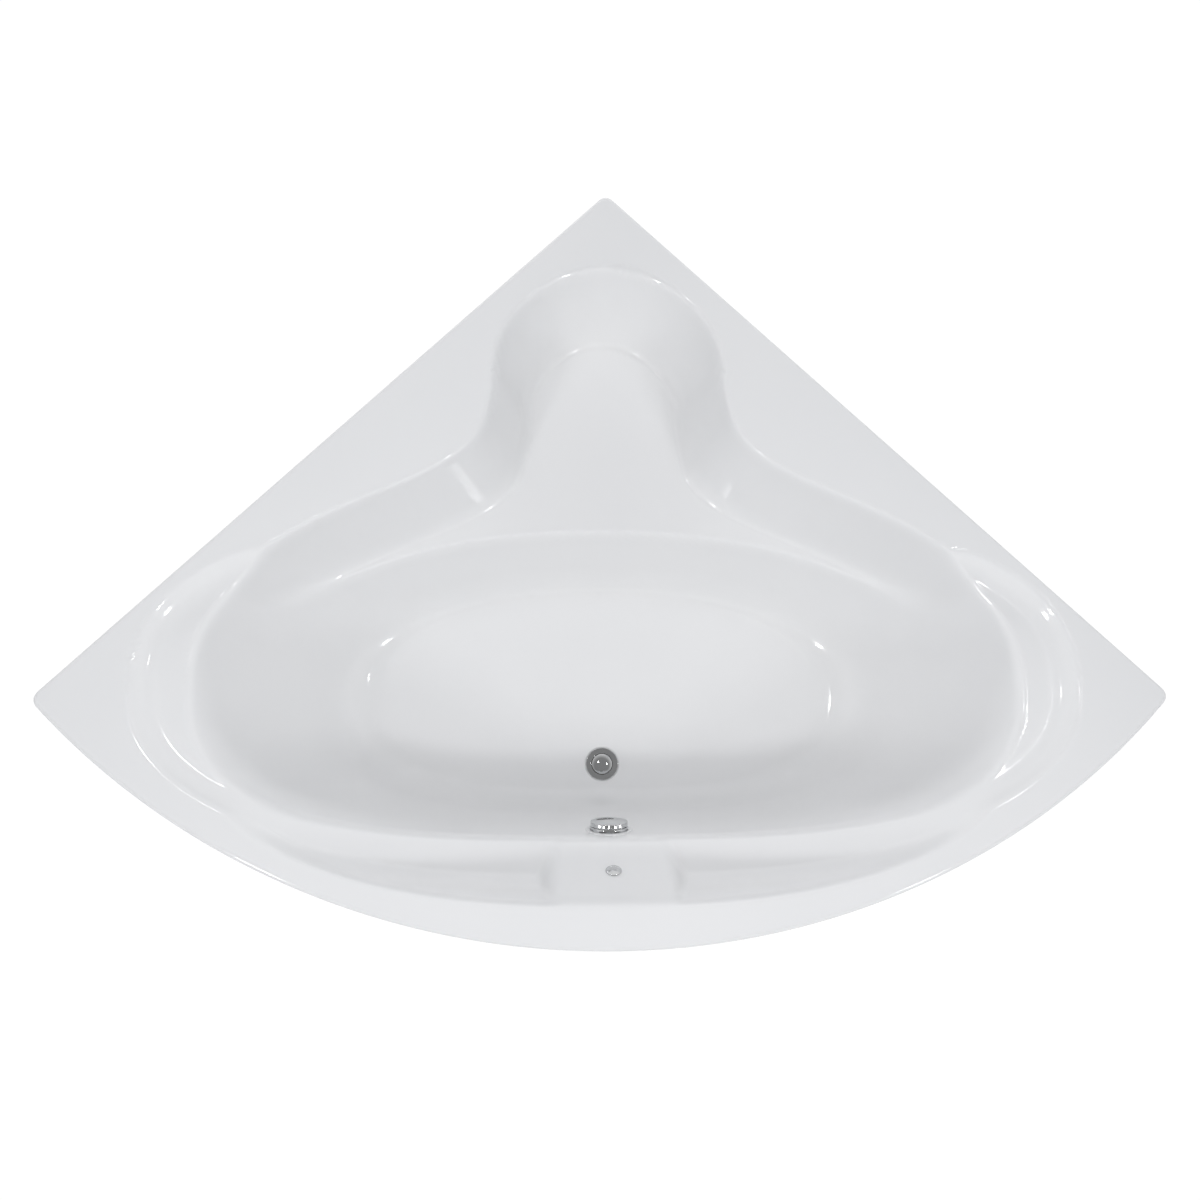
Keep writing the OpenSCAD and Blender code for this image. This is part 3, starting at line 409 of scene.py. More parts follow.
def arc(cx, cz, r, a0, a1, n):
    """Points of an arc, angles in degrees from the outward direction."""
    turns = [radians(a0 + (a1 - a0) * i / n) for i in range(n + 1)]
    return [(cx + r * cos(a), cz + r * sin(a)) for a in turns]


def dome(r, inset, rise, top, n):
    """Points of a shallow dome of radius r, from inset within its edge to its middle."""
    big = (r**2 + rise**2) / (2 * rise)
    crown = asin((r - inset) / big)
    turns = [crown * (1 - k / n) for k in range(n)]
    return [(big * sin(a), top - big + big * cos(a)) for a in turns] + [(0, top)]


def thread(r, depth, start, step, n):
    """Points of a threaded side, every second one cut in."""
    return [(r - depth * (k % 2), start + step * k) for k in range(n)]


# Materials
class Tree:
    """Short hand for building a node tree."""

    def __init__(self, tree):
        self.tree = tree

    def node(self, kind, **values):
        n = self.tree.nodes.new(kind)
        for key, value in values.items():
            if key in n.inputs:
                n.inputs[key].default_value = value
            else:
                setattr(n, key, value)
        return n

    def link(self, a, b):
        self.tree.links.new(a, b)

    def maths(self, operation, a, b, clamp=False):
        """Result of a Math node on a socket and a socket or number."""
        n = self.node("ShaderNodeMath", operation=operation, use_clamp=clamp)
        self.link(a, n.inputs[0])
        if isinstance(b, float):
            n.inputs[1].default_value = b
        else:
            self.link(b, n.inputs[1])
        return n.outputs[0]


class Nodes(Tree):
    """The same for one material."""

    def __init__(self, name):
        self.mat = bpy.data.materials.new(name)
        self.mat.use_nodes = True
        super().__init__(self.mat.node_tree)
        self.bsdf = self.tree.nodes["Principled BSDF"]

    def set(self, **values):
        for key, value in values.items():
            self.bsdf.inputs[key.replace("_", " ")].default_value = value

    def noise(self, scale, detail=4.0, roughness=0.55, stretch=None):
        source = self.node("ShaderNodeTexCoord").outputs["Object"]
        if stretch:
            mapping = self.node("ShaderNodeMapping", Scale=stretch)
            self.link(source, mapping.inputs["Vector"])
            source = mapping.outputs["Vector"]
        n = self.node("ShaderNodeTexNoise", Scale=scale, Detail=detail, Roughness=roughness)
        self.link(source, n.inputs["Vector"])
        return n.outputs["Fac"]

    def colour(self, source, *stops):
        r = self.node("ShaderNodeValToRGB")
        while len(r.color_ramp.elements) < len(stops):
            r.color_ramp.elements.new(0.5)
        for element, (position, colour) in zip(r.color_ramp.elements, stops):
            element.position = position
            element.color = (*colour, 1)
        self.link(source, r.inputs["Fac"])
        self.link(r.outputs["Color"], self.bsdf.inputs["Base Color"])

    def rough(self, source, low, high):
        r = self.node("ShaderNodeMapRange", **{"To Min": low, "To Max": high})
        self.link(source, r.inputs["Value"])
        self.link(r.outputs["Result"], self.bsdf.inputs["Roughness"])

    def bump(self, source, strength, distance):
        b = self.node("ShaderNodeBump", Strength=strength, Distance=distance)
        self.link(source, b.inputs["Height"])
        self.link(b.outputs["Normal"], self.bsdf.inputs["Normal"])


def acrylic():
    m = Nodes("acrylic")
    m.set(IOR=1.49, Coat_Weight=0.4, Coat_Roughness=0.03)
    m.colour(m.noise(2.2, 2.0), (0.3, (0.865, 0.868, 0.872)), (0.7, (0.885, 0.886, 0.888)))
    m.rough(m.noise(9.0, 3.0), 0.07, 0.12)
    m.bump(m.noise(26.0, 2.0), 0.02, 0.0006)
    return m.mat


def fibreglass():
    m = Nodes("fibreglass")
    m.set(IOR=1.5)
    strands = m.noise(60.0, 5.0, 0.65, (1.0, 0.35, 1.0))
    both = m.maths("MULTIPLY", strands, m.noise(52.0, 5.0, 0.65, (0.35, 1.0, 0.6)))
    m.colour(both, (0.12, (0.60, 0.60, 0.52)), (0.4, (0.76, 0.765, 0.70)))
    m.rough(strands, 0.35, 0.65)
    m.bump(both, 0.8, 0.002)
    return m.mat


def chrome():
    m = Nodes("chrome")
    m.set(Metallic=1.0)
    m.colour(m.noise(35.0, 3.0), (0.3, (0.56, 0.57, 0.58)), (0.7, (0.62, 0.625, 0.63)))
    m.rough(m.noise(90.0), 0.04, 0.1)
    return m.mat


def metal(name, dark, light, rough, scale):
    m = Nodes(name)
    m.set(Metallic=1.0)
    grain = m.noise(scale, 6.0, 0.6)
    m.colour(grain, (0.25, dark), (0.75, light))
    m.rough(grain, rough - 0.08, rough + 0.12)
    m.bump(grain, 0.15, 0.0004)
    return m.mat


def plastic(name, dark, light, rough, scale=70.0):
    m = Nodes(name)
    m.set(IOR=1.5)
    grain = m.noise(scale)
    m.colour(grain, (0.3, dark), (0.7, light))
    m.rough(grain, rough - 0.05, rough + 0.08)
    m.bump(m.noise(scale * 9, 2.0), 0.1, 0.0003)
    return m.mat


def board():
    m = Nodes("board")
    m.set(IOR=1.45)
    rings = m.noise(16.0, 5.0, 0.6, (0.4, 3.2, 3.2))
    m.colour(rings, (0.3, (0.36, 0.22, 0.11)), (0.5, (0.52, 0.35, 0.19)), (0.72, (0.62, 0.45, 0.27)))
    m.rough(rings, 0.55, 0.75)
    m.bump(rings, 0.35, 0.0006)
    return m.mat


MATS = {
    "shell_acrylic": acrylic(),
    "fibreglass": fibreglass(),
    "board_wood": board(),
    "zinc_steel": metal("zinc_steel", (0.46, 0.48, 0.50), (0.66, 0.68, 0.70), 0.38, 24.0),
    "fastener_steel": metal("fastener_steel", (0.40, 0.40, 0.38), (0.60, 0.60, 0.57), 0.34, 80.0),
    "stem_steel": metal("stem_steel", (0.44, 0.45, 0.47), (0.62, 0.63, 0.65), 0.32, 90.0),
    "pad_plastic": plastic("pad_plastic", (0.018, 0.018, 0.02), (0.035, 0.035, 0.038), 0.5),
    "chrome": chrome(),
    "seal_rubber": plastic("seal_rubber", (0.012, 0.012, 0.012), (0.03, 0.03, 0.03), 0.65, 110.0),
    "grey_plastic": plastic("grey_plastic", (0.17, 0.175, 0.18), (0.22, 0.225, 0.235), 0.38),
    "white_plastic": plastic("white_plastic", (0.70, 0.70, 0.69), (0.78, 0.78, 0.77), 0.34),
    "brass": metal("brass", (0.50, 0.36, 0.15), (0.70, 0.52, 0.24), 0.3, 90.0),
    "cable_plastic": plastic("cable_plastic", (0.60, 0.60, 0.60), (0.68, 0.68, 0.68), 0.45),
}
for part in frame["record"]["subparts"]:
    mesh = frame["nodes"][part["node"]].data
    mesh.materials.clear()
    mesh.materials.append(MATS[part["material_slot"]])

# Shell: rays from the waste to the rim, closer together at the corners of the outline
RAYS = 480
RINGS = 120
DENSE = 520
TOP, UNDER, EDGE = 0, 1, 2
SHELL_MATS = [MATS["shell_acrylic"], MATS["fibreglass"], MATS["shell_acrylic"]]
# How far a turn of the surface draws the rings closer, and how often neighbouring rays are evened out
TURN_WEIGHT = 90
EVEN_PASSES = 240


def ray_angles():
    """Angles around the waste, closer together where the outline turns sharply."""
    a = np.linspace(-pi / 2, 1.5 * pi, 20001)
    right, left = (atan2(-SIDE / SQRT2 - DRAIN_Y, s * SIDE / SQRT2) % (2 * pi) for s in (1, -1))
    crowd = np.ones_like(a)
    tips = ((right, 7, 0.02), (left, 7, 0.02), (pi / 2, 5, 0.02), (-pi / 2, 0.6, 0.5))
    for tip, extra, spread in tips:
        off = np.abs((a - tip + pi) % (2 * pi) - pi)
        crowd += extra * np.exp(-((off / spread) ** 2))
    total = np.concatenate([[0], np.cumsum((crowd[1:] + crowd[:-1]) / 2)])
    return np.interp(np.arange(RAYS) / RAYS, total / total[-1], a)


def outline(ca, sa):
    """Points of the rim outline on rays from the waste, and the outward directions there."""
    low, _ = halving(lambda r: rim_depth(r * ca, DRAIN_Y + r * sa) > 0, 150.0, 1500.0, 40)
    x, y = low * ca, DRAIN_Y + low * sa
    gx, gy = gradient(rim_depth, x, y, 0.5)
    g = np.hypot(gx, gy)
    return x, y, -gx / g, -gy / g


def shell_rings():
    """Rings of points from the bore of the waste over the top, the lip and back under the shell."""
    angles = ray_angles()
    ca, sa = np.cos(angles), np.sin(angles)
    ox, oy, nx, ny = outline(ca, sa)
    ix, iy = ox - EDGE_R * nx, oy - EDGE_R * ny
    start = RECESS_R + RECESS_EDGE
    sx, sy = start * ca, DRAIN_Y + start * sa
    t = np.linspace(0, 1, DENSE)[:, None]
    x, y = sx + (ix - sx) * t, sy + (iy - sy) * t
    z = height(x, y)
    n = top_normals(x, y)
    run = np.sqrt(np.diff(x, axis=0) ** 2 + np.diff(y, axis=0) ** 2 + np.diff(z, axis=0) ** 2)
    turn = np.minimum(np.linalg.norm(np.diff(n, axis=0), axis=-1), 0.1)
    weight = run + TURN_WEIGHT * turn
    for _ in range(EVEN_PASSES):
        weight = (np.roll(weight, 1, 1) + 2 * weight + np.roll(weight, -1, 1)) / 4
    total = np.concatenate([np.zeros((1, RAYS)), np.cumsum(weight, 0)]) / weight.sum(0)
    steps = np.linspace(0, 1, RINGS)
    t = np.stack([np.interp(steps, total[:, k], np.linspace(0, 1, DENSE)) for k in range(RAYS)], 1)
    x, y = sx + (ix - sx) * t, sy + (iy - sy) * t
    z, n = height(x, y), top_normals(x, y)

    def circle(r, z):
        return in_row(r * ca, DRAIN_Y + r * sa, np.full(RAYS, z))

    def lip(inset, z):
        return in_row(ox - inset * nx, oy - inset * ny, np.full(RAYS, z))

    floor, under = -BASIN_DEPTH, -BASIN_DEPTH - WALL_T
    low = floor - RECESS_DEPTH
    bore = [(WASTE_BORE_R, under), (WASTE_BORE_R, low), (RECESS_R, low), (RECESS_R, floor - RECESS_EDGE)]
    rings = [(circle(r, z), EDGE) for r, z in bore]
    rings += [(in_row(x[k], y[k], z[k]), TOP) for k in range(RINGS)]
    for k in range(1, 8):
        a = pi / 2 * k / 7
        rings.append((lip(EDGE_R * (1 - sin(a)), EDGE_R * (cos(a) - 1)), EDGE))
    rings += [(lip(0.0, -EDGE_R - (LIP_H - EDGE_R - LIP_EDGE_R) * k / 4), EDGE) for k in range(1, 5)]
    for k in range(1, 4):
        a = pi / 2 * k / 3
        rings.append((lip(LIP_EDGE_R * (1 - cos(a)), -LIP_H + LIP_EDGE_R * (1 - sin(a))), EDGE))
    rings.append((lip(WALL_T - 0.5, -LIP_H), EDGE))
    rings += [(lip(WALL_T, z), UNDER) for z in (-LIP_H + 0.5, -LIP_H * 0.6, -WALL_T - 5)]
    for k in range(RINGS - 2, -1, -2):
        ux, uy, uz = (c[k] - WALL_T * n[k, :, i] for i, c in enumerate((x, y, z)))
        inset = rim_depth(ux, uy)
        push = np.maximum(WALL_T + 0.4 - inset, 0)
        rings.append((in_row(ux - push * nx, uy - push * ny, uz), UNDER))
    rings.append((circle(RECESS_R - 4, under), UNDER))
    return rings


def shell():
    rings, kinds = zip(*shell_rings())
    mats = np.repeat([*kinds[1:], UNDER], RAYS).tolist()
    obj = new_object("bath_shell", np.concatenate(rings), quads(len(rings), RAYS), SHELL_MATS, mats)
    pad = [(0, -WALL_T / 2), (PAD_R, -WALL_T / 2), *arc(PAD_R - 1, PAD_OUT - 1, 1, 0, 90, 5), (0, PAD_OUT)]
    boolean(obj, cutter("pad", pad, WALL), "UNION")
    for name, r, matrix in (("overflow_hole", OVERFLOW_R, WALL), ("panel_hole", PANEL_HOLE_R, PANEL)):
        boolean(obj, cutter(name, rectangle(0, -30, r, 30), matrix), "DIFFERENCE")
    true_normals(obj)
    return obj


def cutter(name, profile, matrix):
    obj = turned(name, profile, SHELL_MATS[0], matrix)
    mesh = obj.data
    for m in SHELL_MATS[1:]:
        mesh.materials.append(m)
    mesh.polygons.foreach_set("material_index", [EDGE] * len(mesh.polygons))
    return obj


def read(items, name, width=1, kind=float):
    """A property of all items of a mesh, in rows if each item has several numbers."""
    values = np.zeros(len(items) * width, kind)
    items.foreach_get(name, values)
    return values.reshape(-1, width) if width > 1 else values


def true_normals(obj):
    """Gives the top face the normals of its formula, so that its reflections run smooth."""
    smooth(obj, 40)
    mesh = obj.data
    loops = read(mesh.loops, "vertex_index", kind=int)
    x, y, z = (read(mesh.vertices, "co", 3)[loops] / MM - (0, PLAN_Y, RIM_H)).T
    normals = read(mesh.corner_normals, "vector", 3)
    sizes = read(mesh.polygons, "loop_total", kind=int)
    flat = np.repeat(read(mesh.polygons, "normal", 3), sizes, axis=0)
    true = top_normals(x, y)
    top = (rim_depth(x, y) > EDGE_R - 0.05) & (np.abs(z - height(x, y)) < 0.4) & ((flat * true).sum(1) > 0.85)
    normals[top] = true[top]
    mesh.normals_split_custom_set(normals)


bath = shell()
finish(bath, "tub_shell")

# Chrome that shows
CHROME = MATS["chrome"]
FACE = PAD_OUT + GAP
BORE_R = 21.0
TUBE_R = WASTE_BORE_R - 1.5
FLANGE_R = 35.0
PLUG_R = 22.0
STEM_R = 4.0
KNOB_R = 37.0
KNOB_BASE = FACE + 6 + GAP
KNOB_T = 14.0
ROSETTE_R = 38.0
CAP_R = 15.0


def waste_flange():
    profile = [(BORE_R, -32.6), (BORE_R + 0.4, -33), (TUBE_R - 0.4, -33), (TUBE_R, -32.6), (TUBE_R, -0.4)]
    profile += [(FLANGE_R - 0.3, -0.4), (FLANGE_R, -0.1)]
    profile += arc(FLANGE_R - 1.3, 0.5, 1.3, 0, 80, 8)
    profile += [(FLANGE_R - 3.2, 1.8), (FLANGE_R - 6, 1.5), (TUBE_R + 0.6, 0.9)]
    profile += arc(TUBE_R - 0.4, -0.2, 1.1, 70, 130, 4)
    profile += [(BORE_R + 0.3, -2.9), (BORE_R, -3.6)]
    ring = turned("waste_flange_ring", profile, CHROME, WASTE, close=True)
    tools = [rod("boss", 8.5, -27, -21, CHROME, WASTE, 0.5)]
    for k in range(4):
        spin = WASTE @ Matrix.Rotation(pi / 4 + k * pi / 2, 4, "Z")
        tools.append(block("arm", (6, -1.6, -26.5), (BORE_R + 1, 1.6, -21.5), CHROME, spin, 0.5))
    fuse(ring, *tools)
    cut(ring, rod("guide", STEM_R + GAP, -30, -10, CHROME, WASTE))
    finish(ring, "waste_flange")


def plug_cap():
    low, top, edge = 0.2, 6.5, 1.2
    profile = [(0, 3.4), (STEM_R + GAP, 3.4), (STEM_R + GAP, low + 1), (STEM_R + 1.2, low + 1)]
    profile += [(PLUG_R - 3, low + 1), (PLUG_R - 2.2, low), (PLUG_R - 0.5, low), (PLUG_R, low + 0.5)]
    profile += [(PLUG_R, low + edge - 0.3), (PLUG_R - 0.15, low + edge + 0.05)]
    profile += dome(PLUG_R, 0.8, top - low - edge, top, 16)
    finish(turned("plug_cap_dome", profile, CHROME, WASTE), "plug_cap", "plug")


def plug_seal():
    r = BORE_R + 0.8
    profile = [(STEM_R + GAP, -1.5), *arc(r - 0.7, -0.85, 0.7, -90, 90, 8), (STEM_R + GAP, -0.15)]
    seal = turned("plug_seal_ring", profile, MATS["seal_rubber"], WASTE, close=True)
    finish(seal, "plug_seal", "plug")


def rosette():
    r, top = ROSETTE_R, FACE + 6
    profile = [(0, FACE + 4), (r - 3.2, FACE + 4), (r - 3, FACE + 3.6), (r - 3, FACE + 0.2), (r - 2.8, FACE)]
    profile += [(r - 0.4, FACE), (r, FACE + 0.4), (r, top - 1.2), *arc(r - 1.2, top - 1.2, 1.2, 10, 90, 6)]
    body = turned("overflow_rosette_dish", profile + [(0, top)], CHROME, WALL)
    low, high = FACE - 1, FACE + 2.5
    window = fillet(rectangle(-7, low, 7, high), [0, 0, 0.7, 0.7], 4)
    tools = [rod("guide", STEM_R + GAP, 0, 20, CHROME, WALL)]
    for k in range(4):
        spin = WALL @ Matrix.Rotation(radians(22.5 + 45 * k), 4, "Z")
        tools.append(extruded("window", window, -50, 50, CHROME, spin @ LENGTHWISE))
    tools += [rod("screw_hole", 2.8, 0, 20, CHROME, WALL @ at(16 * side, 0, 0)) for side in (-1, 1)]
    finish(cut(body, *tools), "overflow_rosette")


def knob():
    """Round knob with twelve finger notches round its side."""
    steps = 360
    turn = ring_angles(steps)
    off = (turn + pi / 12) % (pi / 6) - pi / 12
    notch = 1.35 * np.exp(-((off / radians(4.6)) ** 2))
    z, r, rise, edge = KNOB_BASE, KNOB_R, 5, 1.6
    rim = KNOB_T - rise
    rings = [(0, z + 6.8), (STEM_R + GAP, z + 6.8), (STEM_R + GAP, z + 0.4), (STEM_R + 0.7, z), (8.6, z)]
    rings += [(9, z + 0.4), (9, z + 3.6), (9.4, z + 4), (r - 7.5, z + 4), (r - 7.1, z + 3.6), (r - 6.6, z)]
    rings += [(r - 1.2 - 0.4 * notch, z), (r - 0.3 - notch, z + 0.4), (r - notch, z + 1.3)]
    rings += [(r - notch, z + 1.3 + (rim - 2.3) * k / 4) for k in range(1, 5)]
    for k in range(1, 7):
        a = pi / 2 * k / 7
        out = r - edge + edge * cos(a) - notch * (1 - k / 7) ** 0.7
        rings.append((out, z + rim - 1 + 1.45 * sin(a)))
    rings += dome(r, edge, rise, z + KNOB_T, 24)
    finish(turned("overflow_knob_cap", rings, CHROME, WALL, steps), "overflow_knob", "knob")


def blank_cap():
    low, top = 2 * GAP, 5.0
    profile = [(0, -WALL_T - 11), (5.2, -WALL_T - 11), (6, -WALL_T - 10.2)]
    profile += thread(6, 0.5, -WALL_T - 9.8, 0.5, 20) + [(6, low), (CAP_R - 0.4, low), (CAP_R, low + 0.4)]
    profile += [(CAP_R, low + 1.2), (CAP_R - 0.15, low + 1.55)] + dome(CAP_R, 0.7, top - low - 1.5, top, 14)
    finish(turned("blank_cap_dome", profile, CHROME, PANEL), "blank_cap")


waste_flange()
plug_cap()
plug_seal()
rosette()
knob()
blank_cap()


# Frame, feet and plumbing, in millimetres of the row frame
BOARD_T = 15.0
BOARD_TOP = RIM_H - BASIN_DEPTH - WALL_T - GAP
BOARD_BOT = BOARD_TOP - BOARD_T
RAIL_W, RAIL_H, STEEL_T = 40.0, 25.0, 2.5
RAIL_BOT = BOARD_BOT - GAP - RAIL_H
SPINE_W = 30.0
SPINE_TOP = RAIL_BOT - GAP
SPINE_BOT = SPINE_TOP - SPINE_W
SEAT_BOARD_TOP = RIM_H - SEAT_DEPTH - WALL_T - GAP
SEAT_BOARD_BOT = SEAT_BOARD_TOP - BOARD_T
SEAT_RAIL_BOT = SEAT_BOARD_BOT - GAP - RAIL_H
RAIL_YS = FRONT_Y, REAR_Y = PLAN_Y - 1030, PLAN_Y - 850
SEAT_Y = PLAN_Y - 440
FOOT_X = 400.0
SCREWS_X = (-288.0, -144.0, 144.0, 288.0)
SEAT_SCREWS_X = (-80.0, 80.0)
ROD_R, SCREW_R, BOLT_R = 6.0, 3.0, 4.0
FEET = {
    "front_left": (-FOOT_X, FRONT_Y, BOARD_BOT),
    "front_right": (FOOT_X, FRONT_Y, BOARD_BOT),
    "rear_left": (-FOOT_X, REAR_Y, BOARD_BOT),
    "rear_right": (FOOT_X, REAR_Y, BOARD_BOT),
    "seat": (0.0, SEAT_Y, SEAT_BOARD_BOT),
}
ZINC = MATS["zinc_steel"]
FASTENER = MATS["fastener_steel"]
WOOD = MATS["board_wood"]
GREY = MATS["grey_plastic"]
WHITE = MATS["white_plastic"]


def on_side(s, t):
    """Frame on a straight side of the rim: x along the wall, y into the bath."""
    reach = t / SQRT2
    return at(s * reach, PLAN_Y - reach, RIM_H) @ Matrix.Rotation(s * radians(135), 4, "Z")


def copies(name, piece, places):
    """One object of a piece put in several places."""
    bm = bmesh.new()
    for place in places:
        mesh = piece.data.copy()
        mesh.transform(place)
        bm.from_mesh(mesh)
        bpy.data.meshes.remove(mesh)
    mesh = bpy.data.meshes.new(name)
    bm.to_mesh(mesh)
    bm.free()
    mesh.materials.append(piece.data.materials[0])
    bpy.data.objects.remove(piece)
    return linked(name, mesh)


def drill(obj, points, low, high, r):
    cut(obj, *[rod("drill", r, low, high, ZINC, at(x, y, 0)) for x, y in points])


def channel(node, half, y, bottom, holes):
    wall = RAIL_W / 2
    points = [(-wall, RAIL_H), (-wall, 0), (wall, 0), (wall, RAIL_H)]
    inner = wall - STEEL_T
    points += [(inner, RAIL_H), (inner, STEEL_T), (-inner, STEEL_T), (-inner, RAIL_H)]
    loop = fillet(points, [0.4, 3.2, 3.2, 0.4, 0.4, 0.8, 0.8, 0.4])
    rail = extruded(node + "_bent", loop, -half, half, ZINC, at(0, y, bottom) @ LENGTHWISE)
    for r, xs in holes:
        drill(rail, [(x, y) for x in xs], bottom - 5, bottom + STEEL_T + 5, r + GAP)
    finish(rail, node)


def spine():
    low, high = FRONT_Y - RAIL_W / 2, SEAT_Y + 40
    half = SPINE_W / 2
    square = fillet(rectangle(-half, SPINE_BOT, half, SPINE_TOP), [3.0] * 4, 6)
    tube = extruded("frame_spine_tube", square, low, high, ZINC, DEPTHWISE)
    inner = half - STEEL_T
    square = fillet(rectangle(-inner, SPINE_BOT + STEEL_T, inner, SPINE_TOP - STEEL_T), [1.2] * 4, 4)
    cut(tube, extruded("inside", square, low - 5, high + 5, ZINC, DEPTHWISE))
    drill(tube, [(0, y) for y in RAIL_YS], SPINE_BOT - 5, SPINE_TOP + 5, BOLT_R + GAP)
    drill(tube, [(0, SEAT_Y)], SPINE_BOT - 5, SPINE_TOP + 5, ROD_R + GAP)
    finish(tube, "frame_spine")


def bracket(node, s, t):
    width, out, drop = 60.0, WALL_T + GAP, LIP_H + GAP
    points = [(0, -drop - 75), (STEEL_T, -drop - 75), (STEEL_T, -drop - STEEL_T)]
    points += [(out + STEEL_T, -drop - STEEL_T), (out + STEEL_T, -drop + 21.5), (out, -drop + 21.5)]
    points += [(out, -drop), (0, -drop)]
    loop = fillet(points, [0.3, 0.3, 1.2, 2.6, 0.4, 0.4, 0.6, 1.5])
    place = on_side(s, t)
    plate = extruded(node + "_hook", loop, -width / 2, width / 2, ZINC, place @ LENGTHWISE, 0.3)
    holes = [rod("hole", 3.25, -5, 10, ZINC, along(place, x, 0, -drop - 48, "+y")) for x in (-18, 18)]
    finish(cut(plate, *holes), node)


def base_board():
    front, back, half = PLAN_Y - 1072, PLAN_Y - 765, FOOT_X + 40
    loop = fillet(rectangle(-half, front, half, back), [60.0] * 4, 14)
    board = extruded("base_board_sheet", loop, BOARD_BOT, BOARD_TOP, WOOD, at(0, 0, 0), 0.8)
    feet = [(x, y) for x in (-FOOT_X, FOOT_X) for y in RAIL_YS]
    drill(board, feet, BOARD_BOT - 5, BOARD_TOP + 5, ROD_R + 2)
    screws = [(x, y) for x in SCREWS_X for y in RAIL_YS]
    drill(board, screws, BOARD_BOT - 5, BOARD_TOP - 3, SCREW_R + GAP)
    finish(board, "base_board")


def seat_board():
    low, high = (-125, SEAT_Y - 145, SEAT_BOARD_BOT), (125, SEAT_Y + 125, SEAT_BOARD_TOP)
    board = block("seat_board_sheet", low, high, WOOD, edge=0.8)
    drill(board, [(0, SEAT_Y)], SEAT_BOARD_BOT - 5, SEAT_BOARD_TOP + 5, ROD_R + 2)
    screws = [(x, SEAT_Y) for x in SEAT_SCREWS_X]
    drill(board, screws, SEAT_BOARD_BOT - 5, SEAT_BOARD_TOP - 3, SCREW_R + GAP)
    finish(board, "seat_board")


def batten(node, s):
    start, top = WALL_T + GAP + STEEL_T + 1, -WALL_T - GAP
    low, high = (-390, start, top - 18), (390, start + 36, top)
    strip = block(node + "_strip", low, high, WOOD, on_side(s, 560), 1.2)
    finish(strip, node)


def hexagon(corner, steps=72):
    """Radius of a hexagon over the angle, half its width across flats, and the drop of its chamfer."""
    flat = corner / 2 * cos(pi / 6)
    edge = flat / np.cos(ring_angles(steps) % (pi / 3) - pi / 6)
    return edge, flat, (edge - 0.97 * flat) * tan(radians(30))


def nut(corner, bore, h):
    edge, flat, drop = hexagon(corner)
    rings = [(bore + 0.7, 0), (0.97 * flat, 0), (edge, drop), (edge, h - drop), (0.97 * flat, h)]
    rings += [(bore + 0.7, h), (bore, h - 0.7), (bore, 0.7)]
    return turned("nut", rings, FASTENER, steps=72, close=True, angle=25)


def nuts():
    size, h, above = 1.8 * 2 * ROD_R, 9.0, RAIL_BOT + STEEL_T + GAP
    places = [at(s * FOOT_X, y, z) for s in (-1, 1) for y in RAIL_YS for z in (above, RAIL_BOT - GAP - h)]
    seat = (SEAT_RAIL_BOT + STEEL_T + GAP, SEAT_RAIL_BOT - GAP - h, SPINE_TOP + GAP, SPINE_BOT - GAP - h)
    places += [at(0, SEAT_Y, z) for z in seat]
    lock = copies("foot_lock_nuts_hex", nut(size, ROD_R + GAP, h), places)
    finish(lock, "foot_lock_nuts")
    places = [at(0, y, above) for y in RAIL_YS]
    small = copies("frame_nuts_hex", nut(1.8 * 2 * BOLT_R, BOLT_R + GAP, 6.5), places)
    finish(small, "frame_nuts")


def bolts():
    edge, flat, drop = hexagon(1.85 * 2 * BOLT_R)
    length = RAIL_BOT + STEEL_T + GAP + 10 - (SPINE_BOT - GAP)
    rings = [(0, -5.5), (0.97 * flat, -5.5), (edge, drop - 5.5), (edge, 0), (BOLT_R, 0)]
    rings += [(BOLT_R, length - 24)] + thread(BOLT_R, 0.5, length - 23.5, 0.6, 38)
    rings += [(BOLT_R - 0.8, length), (0, length)]
    bolt = turned("bolt", rings, FASTENER, steps=72, angle=25)
    bolt = copies("frame_bolts_hex", bolt, [at(0, y, SPINE_BOT - GAP) for y in RAIL_YS])
    finish(bolt, "frame_bolts")


def wood_screws():
    """Pan heads with a cross, threaded into the boards from below."""
    length = 2 * BOARD_T + 6.6
    rings = [(0, -length), (0.8, 2.5 - length), (2.2, 6 - length)]
    rings += thread(SCREW_R, 0.7, 7 - length, 1.1, 18) + [(SCREW_R, -9), (SCREW_R, 0), (5.8, 0), (6, 0.3)]
    rings += [(6, 1.4), (5.6, 2.4), (4.6, 3.3), (3.2, 3.8), (0, 4)]
    screw = turned("screw", rings, FASTENER, steps=36)
    for a in (0, pi / 2):
        cut(screw, block("slot", (-2.7, -0.5, 1.9), (2.7, 0.5, 6), FASTENER, Matrix.Rotation(a, 4, "Z")))
    over = Matrix.Rotation(pi, 4, "X")
    places = [at(x, y, RAIL_BOT - GAP) @ over for x in SCREWS_X for y in RAIL_YS]
    places += [at(x, SEAT_Y, SEAT_RAIL_BOT - GAP) @ over for x in SEAT_SCREWS_X]
    finish(copies("rail_screws_pan", screw, places), "rail_screws")


def threaded_rod(name, low, high, place):
    steps, pitch, per = 24, 1.75, 4
    turn = np.arange(steps) / steps
    rings = [(0, low)]
    for z in np.arange(low, high, pitch / per):
        groove = 0.95 * np.abs(2 * ((z / pitch - turn) % 1) - 1)
        tip = max(0.0, 1 - min(z - low, high - z))
        rings.append((ROD_R - np.maximum(groove, tip), z))
    rings.append((0, high))
    return turned(name, rings, MATS["stem_steel"], place, steps, angle=60)


